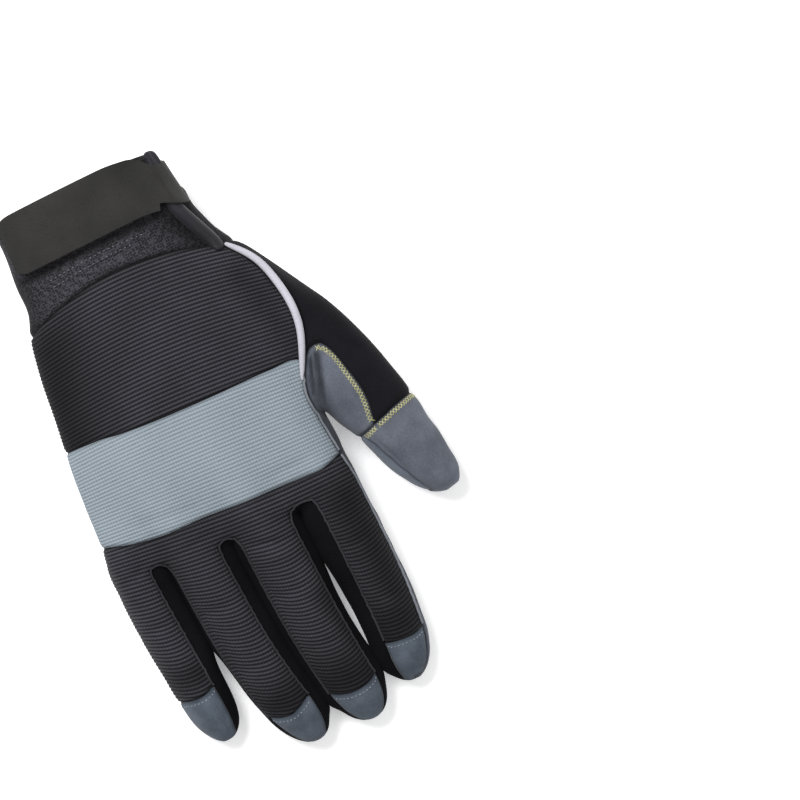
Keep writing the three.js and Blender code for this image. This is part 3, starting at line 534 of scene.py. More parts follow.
def outerSheet(name, wall, tree):
    # the outside of a panel's shell: the rim goes first, then the sheet whose faces look into the hollow
    bm = cadMesh(name)
    bm.normal_update()
    # a rim's cross edges are as long as the wall is thick, and shorter by steps where a tight fold thins it
    rimLengths = [wall * mm * cadLook["rimShrink"] ** k for k in range(cadLook["rimSteps"])]

    def onRim(face):
        lengths = [e.calc_length() for e in face.edges]
        return any(abs(length - w) < cadLook["rimMatch"] for length in lengths for w in rimLengths)

    bmesh.ops.delete(bm, geom=[f for f in bm.faces if onRim(f)], context="FACES")
    sheets = splitSheets(bm)

    def outsideShare(group):
        even = [f for f in group if countHits(tree, f.calc_center_median(), f.normal) // 2 % 2 == 0]
        return len(even) / len(group)

    outer = set(max(sheets[:2], key=outsideShare))
    print(name, "sheets", [len(s) for s in sheets], [round(outsideShare(s), 2) for s in sheets[:2]])
    bmesh.ops.delete(bm, geom=[f for f in bm.faces if f not in outer], context="FACES")
    joinFaces(bm, cadLook["panelAngle"])
    return bm


def meshOf(bm, name):
    mesh = bpy.data.meshes.new(name)
    bm.to_mesh(mesh)
    return mesh


def withModifier(mesh, name, kind, values, weights=None):
    # a mesh with a modifier applied; weights scale the wall's thickness at each vertex
    obj = bpy.data.objects.new(name, mesh)
    bpy.context.scene.collection.objects.link(obj)
    if weights:
        group = obj.vertex_groups.new(name="wall")
        for number, weight in enumerate(weights):
            group.add([number], weight, "REPLACE")
    modifier = obj.modifiers.new(kind.lower(), kind)
    for key, value in values.items():
        setattr(modifier, key, value)
    bpy.context.view_layer.update()
    graph = bpy.context.evaluated_depsgraph_get()
    result = bpy.data.meshes.new_from_object(obj.evaluated_get(graph))
    bpy.data.objects.remove(obj)
    result.name = name
    return result


def glovePlace(co):
    return acrossOf(co.x), alongOf(co.y)


def tipDistance(co):
    return min(math.dist(glovePlace(co), tip) for tip in tips)


def growCaps(bm, look):
    # the caps close over the very tips, in front of the side strips
    strips = [number for number, name in enumerate(panelNames) if name.startswith("fourchette")]
    for face in bm.faces:
        centre = face.calc_center_median()
        for name, tip in capPlaces.items():
            near = math.dist(glovePlace(centre), tip) < look["capReach"]
            if near and face.normal.z > look["capFacing"] and face.material_index in strips:
                face.material_index = panelNames.index(name)


def seamChain(bm, first, second):
    # the longest run of vertices on the seam between two panels
    pair = {panelNames.index(first), panelNames.index(second)}
    links = {}
    for edge in bm.edges:
        if {f.material_index for f in edge.link_faces} == pair:
            for vert in edge.verts:
                links.setdefault(vert, []).append(edge)
    ends = [v for v, edges in links.items() if len(edges) == 1]
    chains = []
    used = set()
    for end in ends or list(links)[:1]:
        chain = [end]
        while True:
            edge = next((e for e in links[chain[-1]] if e not in used), None)
            if edge is None:
                break
            used.add(edge)
            chain.append(edge.other_vert(chain[-1]))
        chains.append(chain)
    return max(chains, key=len) if chains else []


def spreadMoves(bm, tree, chain, moves, reach):
    # carries the moves of a seam's vertices out into the cloth round it, and lays it all back on the skin
    near = KDTree(len(chain))
    for number, vert in enumerate(chain):
        near.insert(vert.co, number)
    near.balance()
    for vert in bm.verts:
        number, distance = near.find(vert.co)[1:]
        share = 1 - distance / (reach * mm)
        if share > 0:
            moved = vert.co + moves[number] * share * share * (3 - 2 * share)
            vert.co = tree.find_nearest(moved)[0]


def smoothSeam(bm, tree, pair, rounds, reach):
    chain = seamChain(bm, *pair)
    if len(chain) < 4:
        return
    spots = [v.co.copy() for v in chain]
    for turn in range(rounds):
        middles = [(a + c) / 2 for a, c in zip(spots, spots[2:])]
        spots = [spots[0]] + [b.lerp(m, 0.5) for b, m in zip(spots[1:], middles)] + [spots[-1]]
    spreadMoves(bm, tree, chain, [s - v.co for s, v in zip(spots, chain)], reach)


def smoothRow(rows, steps=12):
    # a smooth curve through the rows
    spots = []
    for i in range(len(rows) - 1):
        corners = [rows[max(i - 1, 0)], rows[i], rows[i + 1], rows[min(i + 2, len(rows) - 1)]]
        for k in range(steps):
            t = k / steps
            spots.append(tuple(
                0.5 * (2 * b + (c - a) * t + (2 * a - 5 * b + 4 * c - d) * t * t
                       + (3 * b - a - 3 * c + d) * t * t * t)
                for a, b, c, d in zip(*corners)
            ))
    return spots + [tuple(rows[-1])]


def slideSeam(bm, tree, slide):
    # draws a seam along the photo's line, given across and along the glove
    chain = seamChain(bm, *slide["seam"])
    curve = smoothRow(slide["rows"])
    if slide["byAcross"]:
        chain = [v for v in chain if curve[0][0] < acrossOf(v.co.x) < curve[-1][0] and v.normal.z > 0]
        targets = []
        fadeIn, fadeOut = slide.get("fade", (noFade, noFade))
        for vert in chain:
            across, along = glovePlace(vert.co)
            b = next(i for i, spot in enumerate(curve) if spot[0] >= across)
            t = (across - curve[b - 1][0]) / (curve[b][0] - curve[b - 1][0])
            wanted = curve[b - 1][1] + t * (curve[b][1] - curve[b - 1][1])
            share = min(1.0, (across - curve[0][0]) / fadeIn, (curve[-1][0] - across) / fadeOut)
            targets.append((across, along + share * (wanted - along)))
    else:
        if math.dist(glovePlace(chain[0].co), curve[0]) > math.dist(glovePlace(chain[-1].co), curve[0]):
            chain.reverse()
        lengths = [0.0]
        for a, b in zip(chain, chain[1:]):
            lengths.append(lengths[-1] + (b.co - a.co).length)
        gone = [0.0]
        for a, b in zip(curve, curve[1:]):
            gone.append(gone[-1] + math.dist(a, b))
        targets = []
        for length in lengths:
            due = length / lengths[-1] * gone[-1]
            b = max(1, next(i for i, g in enumerate(gone) if g >= due - 1e-9))
            t = (due - gone[b - 1]) / (gone[b] - gone[b - 1])
            targets.append(tuple(p + t * (q - p) for p, q in zip(curve[b - 1], curve[b])))
    moves = [onGlove(x, y, v.co.z) - v.co for v, (x, y) in zip(chain, targets)]
    print(slide["seam"], "slid by up to", round(max(m.length for m in moves) / mm, 1), "mm")
    spreadMoves(bm, tree, chain, moves, slide["reach"])


def sewSkin(look):
    tree = treeOf([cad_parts[name].data for name in panelNames])
    skin = bmesh.new()
    for number, name in enumerate(panelNames):
        sheet = outerSheet(name, look["walls"][name], tree)
        for face in sheet.faces:
            face.material_index = number
            face.smooth = True
        skin.from_mesh(meshOf(sheet, name))
        sheet.free()
    border = [v for v in skin.verts if v.is_boundary]
    bmesh.ops.remove_doubles(skin, verts=border, dist=look["weld"] * mm)
    print("net:", len(skin.faces), "faces,", len([e for e in skin.edges if e.is_boundary]), "open edges")
    levels = {"levels": look["smoothLevels"], "render_levels": look["smoothLevels"]}
    mesh = withModifier(meshOf(skin, "skin"), "skin", "SUBSURF", levels)
    skin.free()
    smooth = bmesh.new()
    smooth.from_mesh(mesh)
    smooth.normal_update()
    for vert, normal in [(v, v.normal.copy()) for v in smooth.verts]:
        lift = look["swell"] + look["tipSwell"] * max(0.0, 1 - tipDistance(vert.co) / look["tipReach"])
        for bulge in look["bulges"]:
            away = math.dist(glovePlace(vert.co), bulge["at"]) / bulge["reach"]
            if away < 1:
                lift += bulge["lift"] * (1 - away * away) ** 2
        vert.co += normal * lift * mm
    growCaps(smooth, look)
    tree = BVHTree.FromBMesh(smooth)
    for pair in look["smoothed"]:
        smoothSeam(smooth, tree, pair, look["smoothRounds"], look["smoothReach"])
    for slide in look["slid"]:
        slideSeam(smooth, tree, slide)
    smooth.normal_update()
    out = smooth.verts.layers.float_vector.new("out")
    for vert in smooth.verts:
        vert[out] = vert.normal
    return smooth


skin = sewSkin(skinLook)
print("skin sewn:", len(skin.faces), "faces")


def segmentPlace(x, y, fold):
    # nearest place on a fold's line, as share of its length and distance in millimetres
    ax, ay, bx, by = fold["line"]
    dx, dy = bx - ax, by - ay
    share = ((x - ax) * dx + (y - ay) * dy) / (dx * dx + dy * dy)
    held = min(1.0, max(0.0, share))
    return held, math.hypot(x - ax - held * dx, y - ay - held * dy)


# a fold is felt up to so many widths away; at its ends it keeps the sine of this share of half a turn
foldLook = {"reach": 3.5, "ends": 0.12}


def foldLift(x, y, folds):
    lift = 0.0
    for fold in folds:
        share, distance = segmentPlace(x, y, fold)
        if distance > foldLook["reach"] * fold["width"]:
            continue
        fade = math.sin(math.pi * (foldLook["ends"] + (1 - 2 * foldLook["ends"]) * share))
        lift += fold["height"] * fade * math.exp(-((distance / fold["width"]) ** 2))
    return lift


def ribRow(across, along, bow):
    # rows of the knit run across the hand, bowed near the wrist and a little tilted
    amount = bow["atWrist"] + (bow["atFingers"] - bow["atWrist"]) * rise(along, *bow["bowed"])
    row = along - bow["tilt"] * across + amount * (across / bow["halfHand"]) ** 2
    onFingers = rise(along, *bow["fingers"])
    if onFingers:
        asides = [abs(across - root - lean * (along - bow["roots"])) for root, lean in bow["fingerLines"]]
        row += onFingers * bow["fingerArc"] * min(1.0, min(asides) / bow["halfFinger"]) ** 2
    return row


def cutRibs(bm, rib):
    # loops of edges along every rib's valley, flanks and crest: the rows are laid straight, cut, laid back
    for vert in bm.verts:
        vert.co.y = ribRow(*glovePlace(vert.co), rib["bow"]) * mm
    low = min(v.co.y for v in bm.verts)
    high = max(v.co.y for v in bm.verts)
    step = rib["pitch"] * mm / rib["cuts"]
    number = math.ceil(low / step)
    while number * step < high:
        height = number * step
        near = [f for f in bm.faces if min(v.co.y for v in f.verts) < height < max(v.co.y for v in f.verts)]
        geom = set(near)
        for face in near:
            geom.update(face.verts)
            geom.update(face.edges)
        bmesh.ops.bisect_plane(
            bm, geom=list(geom), plane_co=(0, height, 0), plane_no=(0, 1, 0), dist=rib["snap"],
        )
        number += 1
    row = bm.verts.layers.float.new("row")
    for vert in bm.verts:
        vert[row] = vert.co.y / mm
        across = acrossOf(vert.co.x)
        along = vert[row]
        for turn in range(rib["backRounds"]):
            along += vert[row] - ribRow(across, along, rib["bow"])
        vert.co.y = onGlove(across, along).y


def seamTree(bm, perEdge=8):
    # the panel's border, in spots close enough to measure from
    spots = []
    for edge in bm.edges:
        if edge.is_boundary:
            a, b = edge.verts
            spots += [a.co.lerp(b.co, k / perEdge) for k in range(perEdge)]
    tree = KDTree(len(spots))
    for number, spot in enumerate(spots):
        tree.insert(spot, number)
    tree.balance()
    return tree


# how neighbouring side strips are brought together, lengths in millimetres
meetLook = {
    "sideways": 0.6, "probeStart": 0.3, "probeReach": 7, "gapFade": (6, 4), "rounds": 24, "fromSeam": 2.5,
    "smoothRounds": 14,
}


def meetLifts(bm, tree, meet):
    # how far the side strips of neighbouring fingers bulge until they touch, evened out over the cloth
    facing = BVHTree.FromBMesh(bm)
    lifts = {}
    for vert in bm.verts:
        lifts[vert] = 0.0
        flat = Vector((vert.normal.x, vert.normal.y, 0))
        if flat.length < meetLook["sideways"]:
            continue
        way = flat.normalized()
        start = vert.co + way * meetLook["probeStart"] * mm
        gap = facing.ray_cast(start, way, meetLook["probeReach"] * mm)[3]
        if gap is None:
            continue
        along = alongOf(vert.co.y)
        fade = rise(along, meet["until"], meet["until"] - meet["fade"])
        near = rise(gap / mm, *meetLook["gapFade"])
        wanted = gap / mm / 2 + meet["overlap"]
        if "open" in meet:
            openFrom, openTo = meet["open"]
            opening = max(0.0, 1 - abs(2 * along - openFrom - openTo) / (openTo - openFrom)) ** 0.5
            wanted -= opening * meet["left"]
        lifts[vert] = max(0.0, wanted) * fade * near
    for turn in range(meetLook["rounds"]):
        around = {}
        for vert in bm.verts:
            others = [lifts[e.other_vert(vert)] for e in vert.link_edges]
            around[vert] = 0.5 * lifts[vert] + 0.5 * sum(others) / len(others)
        lifts = around
    return {v: lift * min(1.0, tree.find(v.co)[2] / mm / meetLook["fromSeam"]) for v, lift in lifts.items()}


# what all panels share near their seams and tips, lengths in millimetres
rippleShift = Vector((3.0, 5.1, 1.8))
edgeLook = {
    "plump": 3.0, "ribStart": 0.8, "seamShade": 1.0, "bulgeFade": 6, "backFrom": -0.2, "tipRise": (4, 14),
    "leastPull": 0.3, "leastWall": 0.12, "thinnest": 0.05, "sharpFrom": math.radians(70),
}


def tipRise(co, least):
    # seams are shallower and walls thinner at the very tips
    return max(least, rise(tipDistance(co), *edgeLook["tipRise"]))


def shapeSheet(bm, look):
    # seams pull in, the cloth between them swells, folds, ripples and ribs
    tree = seamTree(bm)
    bm.normal_update()
    out = bm.verts.layers.float_vector["out"]
    ribLayer = bm.verts.layers.float.new("rib")
    paintedShadeLayer = bm.verts.layers.float.new("seam")
    row = bm.verts.layers.float.get("row")
    rib = look["rib"]
    meeting = meetLifts(bm, tree, look["meet"]) if look.get("meet") else {}
    moves = []
    for vert in bm.verts:
        distance = tree.find(vert.co)[2] / mm
        normal = Vector(vert[out]).normalized() if vert.is_boundary else vert.normal
        pull = look["seamDepth"] * tipRise(vert.co, edgeLook["leastPull"])
        lift = -pull * math.exp(-((distance / look["seamWidth"]) ** 2))
        inner = 1 - math.exp(-((distance / edgeLook["plump"]) ** 2))
        lift += look["swell"] * inner
        lift += look["ripple"] * noise.noise(vert.co / (look["rippleSize"] * mm) + rippleShift) * inner
        across, along = glovePlace(vert.co)
        if (vert.normal.z > edgeLook["backFrom"]) == look["foldsAbove"]:
            lift += foldLift(across, along, look["folds"]) * inner
        for bulge in look["bulges"]:
            side = rise(across, bulge["from"], bulge["from"] + edgeLook["bulgeFade"])
            lift += side * bulge["height"] * math.exp(-(((along - bulge["along"]) / bulge["width"]) ** 2))
        lift += meeting.get(vert, 0.0)
        if rib:
            phase = vert[row] / rib["pitch"]
            crest = abs(math.sin(math.pi * phase))
            # the crest value also colours the knit: crests are painted lighter and valleys darker, a painted
            # highlight and painted shade
            vert[ribLayer] = crest
            lift += rib["height"] * (crest - 0.5) * min(1.0, distance / edgeLook["ribStart"])
        # painted shade: the "seam" layer darkens the cloth along its sunk borders and along each listed
        # shade line
        shade = math.exp(-((distance / edgeLook["seamShade"]) ** 2))
        for dark in look["shades"]:
            away = segmentPlace(across, along, dark)[1] / dark["width"]
            shade = max(shade, dark["amount"] * math.exp(-away * away))
        vert[paintedShadeLayer] = shade
        moves.append((vert, normal * lift * mm))
    for vert, move in moves:
        vert.co += move
    if meeting:
        inner = [v for v in bm.verts if not v.is_boundary]
        for turn in range(meetLook["smoothRounds"]):
            bmesh.ops.smooth_vert(
                bm, verts=inner, factor=0.5, mirror_clip_x=False, mirror_clip_y=False, mirror_clip_z=False,
                clip_dist=0.0, use_axis_x=True, use_axis_y=True, use_axis_z=True,
            )
    tuck = look.get("tuck")
    if tuck:
        for vert in bm.verts:
            if vert.co.z / mm > tuck["above"] and alongOf(vert.co.y) < tuck["until"]:
                share = (tuck["until"] - alongOf(vert.co.y)) / (tuck["until"] - tuck["edge"])
                vert.co.y += tuck["by"] * mm * share


def addPiece(mesh, name, look, node=None):
    # a finished mesh becomes a piece in its own material, in place of its CAD node if it has one
    mesh.materials.clear()
    mesh.materials.append(materials[look["material"]])
    mesh.polygons.foreach_set("use_smooth", [True] * len(mesh.polygons))
    piece = bpy.data.objects.new(name, mesh)
    bpy.context.scene.collection.objects.link(piece)
    if node:
        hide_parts(node)
    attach(piece, "root")
    print(piece.name, len(mesh.polygons), "faces")
    return piece


# the panels' outer sheets, which the strap's pull and the stitches look for later
sheets = {}


def makePanel(name, look):
    number = panelNames.index(name)
    bm = skin.copy()
    bmesh.ops.delete(bm, geom=[f for f in bm.faces if f.material_index != number], context="FACES")
    for face in bm.faces:
        face.material_index = 0
    if look["edgeLoop"]:
        bmesh.ops.inset_region(
            bm, faces=bm.faces, thickness=look["edgeLoop"] * mm, use_boundary=True, use_even_offset=True,
        )
    if look["rib"]:
        cutRibs(bm, look["rib"])
    else:
        bmesh.ops.subdivide_edges(bm, edges=bm.edges, cuts=1, use_grid_fill=True, smooth=0.0)
    shapeSheet(bm, look)
    sheets[name] = bm
    wall = {
        "thickness": skinLook["walls"][name] * mm, "offset": -1.0, "use_rim": True, "vertex_group": "wall",
        "thickness_vertex_group": edgeLook["thinnest"],
    }
    weights = [tipRise(v.co, edgeLook["leastWall"]) for v in bm.verts]
    mesh = withModifier(meshOf(bm, name), name + "Cloth", "SOLIDIFY", wall, weights)
    piece = addPiece(mesh, name + "Cloth", look, name)
    mesh.set_sharp_from_angle(angle=edgeLook["sharpFrom"])
    return piece


# the rows of the knit: each finger's line is its place across at the roots and its lean
ribBow = {
    "tilt": 0.07, "atWrist": -8.0, "atFingers": 3.0, "bowed": (40, 150), "halfHand": 55,
    "fingers": (152, 182), "fingerArc": 3.6, "halfFinger": 11, "roots": 150,
    "fingerLines": [(-56.0, 0.06), (-28.5, 0.1), (1.0, 0.05), (30.5, 0.02)],
}
ribStart = {"cuts": 4, "snap": 2e-6, "backRounds": 10, "bow": ribBow}
blackRib = {**ribStart, "pitch": 1.65, "height": 0.3}
bandRib = {**ribStart, "pitch": 1.5, "height": 0.2}

# what a panel has unless its own look says otherwise; lines are across and along at both ends; shades are
# lines of painted shade
panelStart = {
    "rib": None, "edgeLoop": 0.0, "seamDepth": 0.7, "seamWidth": 0.8, "swell": 0.2, "ripple": 0.5,
    "folds": [], "foldsAbove": True, "shades": [], "bulges": [],
}
panelLooks = {
    "palm_panel": {
        "material": "suedeGrey", "slot": "suede_grey", "rippleSize": 14.0, "foldsAbove": False,
        # painted shade along the strip beside the index finger
        "shades": [{"line": (41.5, 145, 43.5, 218), "width": 3.0, "amount": 0.7}],
        "folds": [
            {"line": (-55, 128, 38, 132), "width": 2.2, "height": -0.7},
            {"line": (-40, 92, 10, 118), "width": 2.4, "height": -0.5},
            {"line": (-63, 168, -44, 168), "width": 1.6, "height": -0.8},
            {"line": (-41, 178, -16, 178), "width": 1.8, "height": -0.9},
            {"line": (-13, 180, 13, 180), "width": 1.8, "height": -0.9},
            {"line": (16, 176, 43, 176), "width": 1.8, "height": -0.8},
            {"line": (-38, 203, -14, 203), "width": 1.5, "height": -0.6},
            {"line": (-10, 206, 15, 206), "width": 1.5, "height": -0.6},
            {"line": (17, 201, 42, 201), "width": 1.5, "height": -0.6},
        ],
    },
    "back_of_hand": {
        "material": "knitBlack", "slot": "knit_black", "edgeLoop": 0.5, "rib": blackRib,
        "seamDepth": 0.8, "ripple": 0.35, "rippleSize": 18.0,
        "folds": [{"line": (20, 60, 44, 92), "width": 3.5, "height": -0.5}],
        # painted shade along the little-finger edge and on the thumb side of the back
        "shades": [
            {"line": (-48, 56, -56, 100), "width": 17, "amount": 1.0},
            {"line": (36, 62, 44, 96), "width": 6, "amount": 0.45},
        ],
    },
    "knuckle_band": {
        "material": "knitBand", "slot": "knit_band", "edgeLoop": 0.5, "rib": bandRib,
        "seamDepth": 0.6, "seamWidth": 0.7, "ripple": 0.3, "rippleSize": 20.0,
        "folds": [
            {"line": (10, 139, 30, 139), "width": 2.4, "height": -0.5},
            {"line": (-45, 133, -20, 137), "width": 2.4, "height": -0.5},
        ],
    },
    "finger_back_panel": {
        "material": "knitBlack", "slot": "knit_black", "edgeLoop": 0.5, "rib": blackRib,
        "seamDepth": 0.8, "swell": 0.3, "rippleSize": 12.0,
        "folds": [
            {"line": (-8, 160, 9, 165), "width": 1.8, "height": -1.3},
            {"line": (-8, 167, 8, 170), "width": 2.0, "height": 0.7},
            {"line": (1, 150, 15, 163), "width": 1.6, "height": -0.9},
            {"line": (4, 147, 17, 158), "width": 1.3, "height": 0.6},
            {"line": (-36, 150, -18, 149), "width": 2.0, "height": -0.7},
            {"line": (-40, 146, -22, 143), "width": 2.2, "height": -0.6},
            {"line": (-60, 152, -48, 149), "width": 2.0, "height": -0.6},
            {"line": (22, 147, 38, 146), "width": 2.0, "height": -0.5},
            {"line": (-39, 176, -22, 178), "width": 2.2, "height": -0.8},
            {"line": (-10, 183, 8, 184), "width": 2.2, "height": -0.7},
            {"line": (24, 178, 40, 177), "width": 2.2, "height": -0.8},
            {"line": (-62, 173, -50, 174), "width": 2.0, "height": -0.7},
            {"line": (-34, 203, -18, 205), "width": 2.0, "height": -0.5},
            {"line": (-6, 208, 10, 208), "width": 2.0, "height": -0.5},
            {"line": (24, 202, 40, 202), "width": 2.0, "height": -0.5},
        ],
        # painted shade towards the fingertips and along the index finger
        "shades": [
            {"line": (-6, 224, 12, 226), "width": 13, "amount": 0.95},
            {"line": (-32, 222, -16, 222), "width": 9, "amount": 0.9},
            {"line": (22, 213, 40, 213), "width": 15, "amount": 1.0},
            {"line": (34, 160, 38, 205), "width": 10, "amount": 0.95},
            {"line": (-60, 196, -50, 196), "width": 6, "amount": 0.7},
            {"line": (10, 190, 13, 215), "width": 5, "amount": 0.7},
        ],
    },
    "thumb_saddle": {
        "material": "suedeThumb", "slot": "suede_grey", "rippleSize": 8.0,
        "folds": [
            {"line": (49.8, 102, 46, 114), "width": 1.2, "height": -1.6},
            {"line": (46, 114, 43.5, 121), "width": 1.3, "height": -1.3},
            {"line": (47.9, 102.5, 43.5, 116), "width": 1.0, "height": 0.9},
            {"line": (46.2, 104, 41.3, 117), "width": 1.1, "height": -1.0},
            {"line": (54, 112, 52, 126), "width": 2.2, "height": 0.5},
        ],
        # painted shade in the web's folds and along the strip beside the index finger
        "shades": [
            {"line": (49.4, 103, 45.4, 116), "width": 1.7, "amount": 1.0},
            {"line": (45.4, 116, 43.6, 122), "width": 1.7, "amount": 0.9},
            {"line": (46.4, 104, 41.3, 117), "width": 1.2, "amount": 1.0},
            {"line": (46, 103, 43.5, 118), "width": 3.5, "amount": 0.4},
            {"line": (52, 112, 58, 134), "width": 9.0, "amount": 0.12},
            {"line": (43.5, 112, 40.5, 150), "width": 4.0, "amount": 0.75},
            {"line": (40.5, 150, 44, 215), "width": 4.0, "amount": 0.75},
        ],
    },
    "thumb_front": {
        "material": "suedeGrey", "slot": "suede_grey", "edgeLoop": 0.5, "ripple": 0.4, "rippleSize": 10.0,
    },
    "thumb_back": {
        "material": "thumbKnit", "slot": "thumb_knit", "edgeLoop": 0.5,
        "seamDepth": 0.8, "seamWidth": 0.9, "rippleSize": 14.0,
        "folds": [{"line": (56, 98, 66, 110), "width": 2.6, "height": -0.5}],
    },
    "thumb_cap": {
        "material": "suedeThumb", "slot": "suede_cap", "rippleSize": 9.0,
        "folds": [
            {"line": (55, 143, 63, 165), "width": 0.9, "height": -0.8},
            {"line": (52, 146, 60, 164), "width": 1.2, "height": 0.4},
        ],
    },
    "cuff": {
        "material": "cuffKnit", "slot": "cuff_knit", "edgeLoop": 0.4,
        "seamDepth": 0.9, "seamWidth": 1.3, "swell": 0.3, "ripple": 0.7, "rippleSize": 16.0,
        "folds": [
            {"line": (-30, 31, 10, 30), "width": 2.5, "height": 0.5},
            {"line": (-44, 30, -50, 46), "width": 3.0, "height": -0.6},
            {"line": (-42, 27, 15, 24.6), "width": 1.6, "height": -1.0},
        ],
        # painted shadow under the strap's lower edge, painted shade beside the slit binding, on the
        # little-finger side and along the cuff's open end
        "shades": [
            {"line": (-42, 26.2, 17, 26.6), "width": 2.3, "amount": 1.0},
            {"line": (30, 26, 38, 46), "width": 8, "amount": 0.85},
            {"line": (-46, 28, -52, 50), "width": 8, "amount": 0.75},
            {"line": (24, 28, 31, 44), "width": 9, "amount": 1.0},
            {"line": (-50, 0, 40, 0), "width": 12, "amount": 0.9},
        ],
        "bulges": [
            {"from": 24, "along": 20.5, "width": 3.5, "height": 1.3},
            {"from": 24, "along": 28.5, "width": 5.0, "height": -0.5},
            {"from": 24, "along": 12, "width": 8.0, "height": -1.5},
        ],
        "tuck": {"above": 20, "edge": -3, "until": 8, "by": 2.4},
    },
}
for name in capPlaces:
    panelLooks[name] = {
        "material": "suedeCap", "slot": "suede_cap", "seamDepth": 0.6, "seamWidth": 0.7, "ripple": 0.3,
        "rippleSize": 7.0,
    }

# where the side strips of neighbouring fingers touch, and where a gap is left between them
stripMeets = {
    "fourchette_index_middle": {"until": 233, "fade": 7, "overlap": 0.9, "left": 2.1, "open": (178, 220)},
    "fourchette_middle_ring": {"until": 237, "fade": 8, "overlap": 0.9},
    "fourchette_ring_little": {"until": 195, "fade": 5, "overlap": 0.9},
}
for name, meet in stripMeets.items():
    panelLooks[name] = {
        "material": "fourchetteKnit", "slot": "knit_black", "seamDepth": 0.5, "seamWidth": 0.7, "swell": 0.1,
        "ripple": 0.3, "rippleSize": 9.0, "meet": meet,
    }
panels = {name: makePanel(name, {**panelStart, **look}) for name, look in panelLooks.items()}


# trims and pads: the CAD solid's mesh, rounded off and detailed
underNames = ["cuff", "back_of_hand", "thumb_back"]
underTree = treeOf([meshOf(sheets[name], name) for name in underNames])
followLook = {"from": 100, "most": 8.0}


def clothHeight(x, y):
    # the height of the cloth under a trim, or None beside it
    hit = underTree.ray_cast(Vector((x, y, followLook["from"] * mm)), Vector((0, 0, -1)))[0]
    return hit.z if hit else None


def pullTrim(bm, pulls):
    # shifts parts of a trim along the glove and keeps their height over the cloth
    for pull in pulls:
        for vert in bm.verts:
            places = {"along": alongOf(vert.co.y), "across": acrossOf(vert.co.x), "up": vert.co.z / mm}
            share = 1.0
            for way, (start, end) in pull["ramps"].items():
                share *= rise(places[way], start, end)
            shift = Vector((-pull["across"], pull["along"], pull.get("up", 0.0))) * share * mm
            before = clothHeight(vert.co.x, vert.co.y)
            after = clothHeight(vert.co.x + shift.x, vert.co.y + shift.y)
            vert.co += shift
            over = pull["follow"] and before is not None and after is not None
            if over and abs(after - before) < followLook["most"] * mm:
                vert.co.z += after - before


def makeTrim(node, look):
    bm = cadMesh(node)
    joinFaces(bm, cadLook["trimAngle"])
    bm.normal_update()
    rim = look.get("rim")
    if rim:
        broad = [f for f in bm.faces if f.normal.z < rim["facing"] and f.calc_area() > rim["leastArea"]]
        bmesh.ops.inset_region(bm, faces=broad, thickness=rim["width"] * mm, depth=0.0)
        bmesh.ops.inset_region(bm, faces=broad, thickness=rim["slope"] * mm, depth=-rim["depth"] * mm)
    if look.get("bevel"):
        sharp = [e for e in bm.edges if e.is_manifold and e.calc_face_angle() > look["sharpAngle"]]
        bmesh.ops.bevel(
            bm, geom=sharp, offset=look["bevel"] * mm, segments=look["segments"], profile=0.5,
            affect="EDGES", material=-1, clamp_overlap=True,
        )
    if look.get("pulls"):
        pullTrim(bm, look["pulls"])
    if look.get("swell"):
        bm.normal_update()
        for vert, normal in [(v, v.normal.copy()) for v in bm.verts]:
            vert.co += normal * look["swell"] * mm
    levels = {"levels": look["levels"], "render_levels": look["levels"]}
    mesh = withModifier(meshOf(bm, node), node + "Piece", "SUBSURF", levels)
    bm.free()
    return addPiece(mesh, node + "Piece", look, node)


trimLooks = {
    "wrist_strap": {
        "material": "strapWeb", "slot": "strap_web", "bevel": 0.45, "segments": 2, "sharpAngle": 0.9,
        "levels": 2,
        "pulls": [
            {"ramps": {"across": (25, 31)}, "across": -1.5, "along": 0, "follow": False},
            {"ramps": {"across": (17, 29), "along": (8, 17), "up": (10, 20)}, "across": 0.0, "along": 7.0,
             "follow": True},
        ],
    },
    "pull_tab": {
        "material": "tabRubber", "slot": "tab_rubber", "bevel": 0.5, "segments": 2, "sharpAngle": 0.9,
        "levels": 2, "rim": {"facing": -0.6, "leastArea": 2e-6, "width": 2.0, "slope": 0.5, "depth": 0.7},
    },
    "slit_binding": {
        "material": "bindingKnit", "slot": "cuff_binding", "levels": 3, "swell": 0.9,
        "pulls": [
            {"ramps": {"along": (21, 42)}, "across": 1.8, "along": 6.5, "follow": True},
            {"ramps": {"along": (18, 9)}, "across": 1.6, "along": 1.2, "up": 0.5, "follow": True},
        ],
    },
    "thumb_piping": {"material": "pipingCloth", "slot": "piping_grey", "levels": 3, "swell": 0.15},
    "palm_pad_outer": {"material": "suedeGrey", "slot": "suede_grey", "levels": 1},
    "palm_pad_inner": {"material": "suedeGrey", "slot": "suede_grey", "levels": 1},
}
trims = {node: makeTrim(node, look) for node, look in trimLooks.items()}


# thread: short stitches laid on the cloth, along seams or drawn lines
sheetMeshes = [meshOf(bm, name) for name, bm in sheets.items()]
clothTree = treeOf(sheetMeshes + [piece.data for piece in trims.values()])
threadLook = {
    "nearCloth": 3.0, "lineHeight": 20, "lineAway": 60, "sunk": 0.35, "length": 0.56, "longest": 3,
    "sides": 6, "rings": 5,
}
onBack = Vector((0, 0, 1))
onPalm = Vector((0, 0, -1))


def seamLine(first, second, into):
    # the sewn line between two panels, as spots with their outward ways, moved into the first panel
    a = panelNames.index(first)
    spots = []
    for vert in seamChain(skin, first, second):
        own = [f.calc_center_median() for f in vert.link_faces if f.material_index == a]
        way = sum(own, Vector()) / len(own) - vert.co
        way -= vert.normal * way.dot(vert.normal)
        spots.append((vert.co + way.normalized() * into * mm, vert.normal.copy()))
    return spots


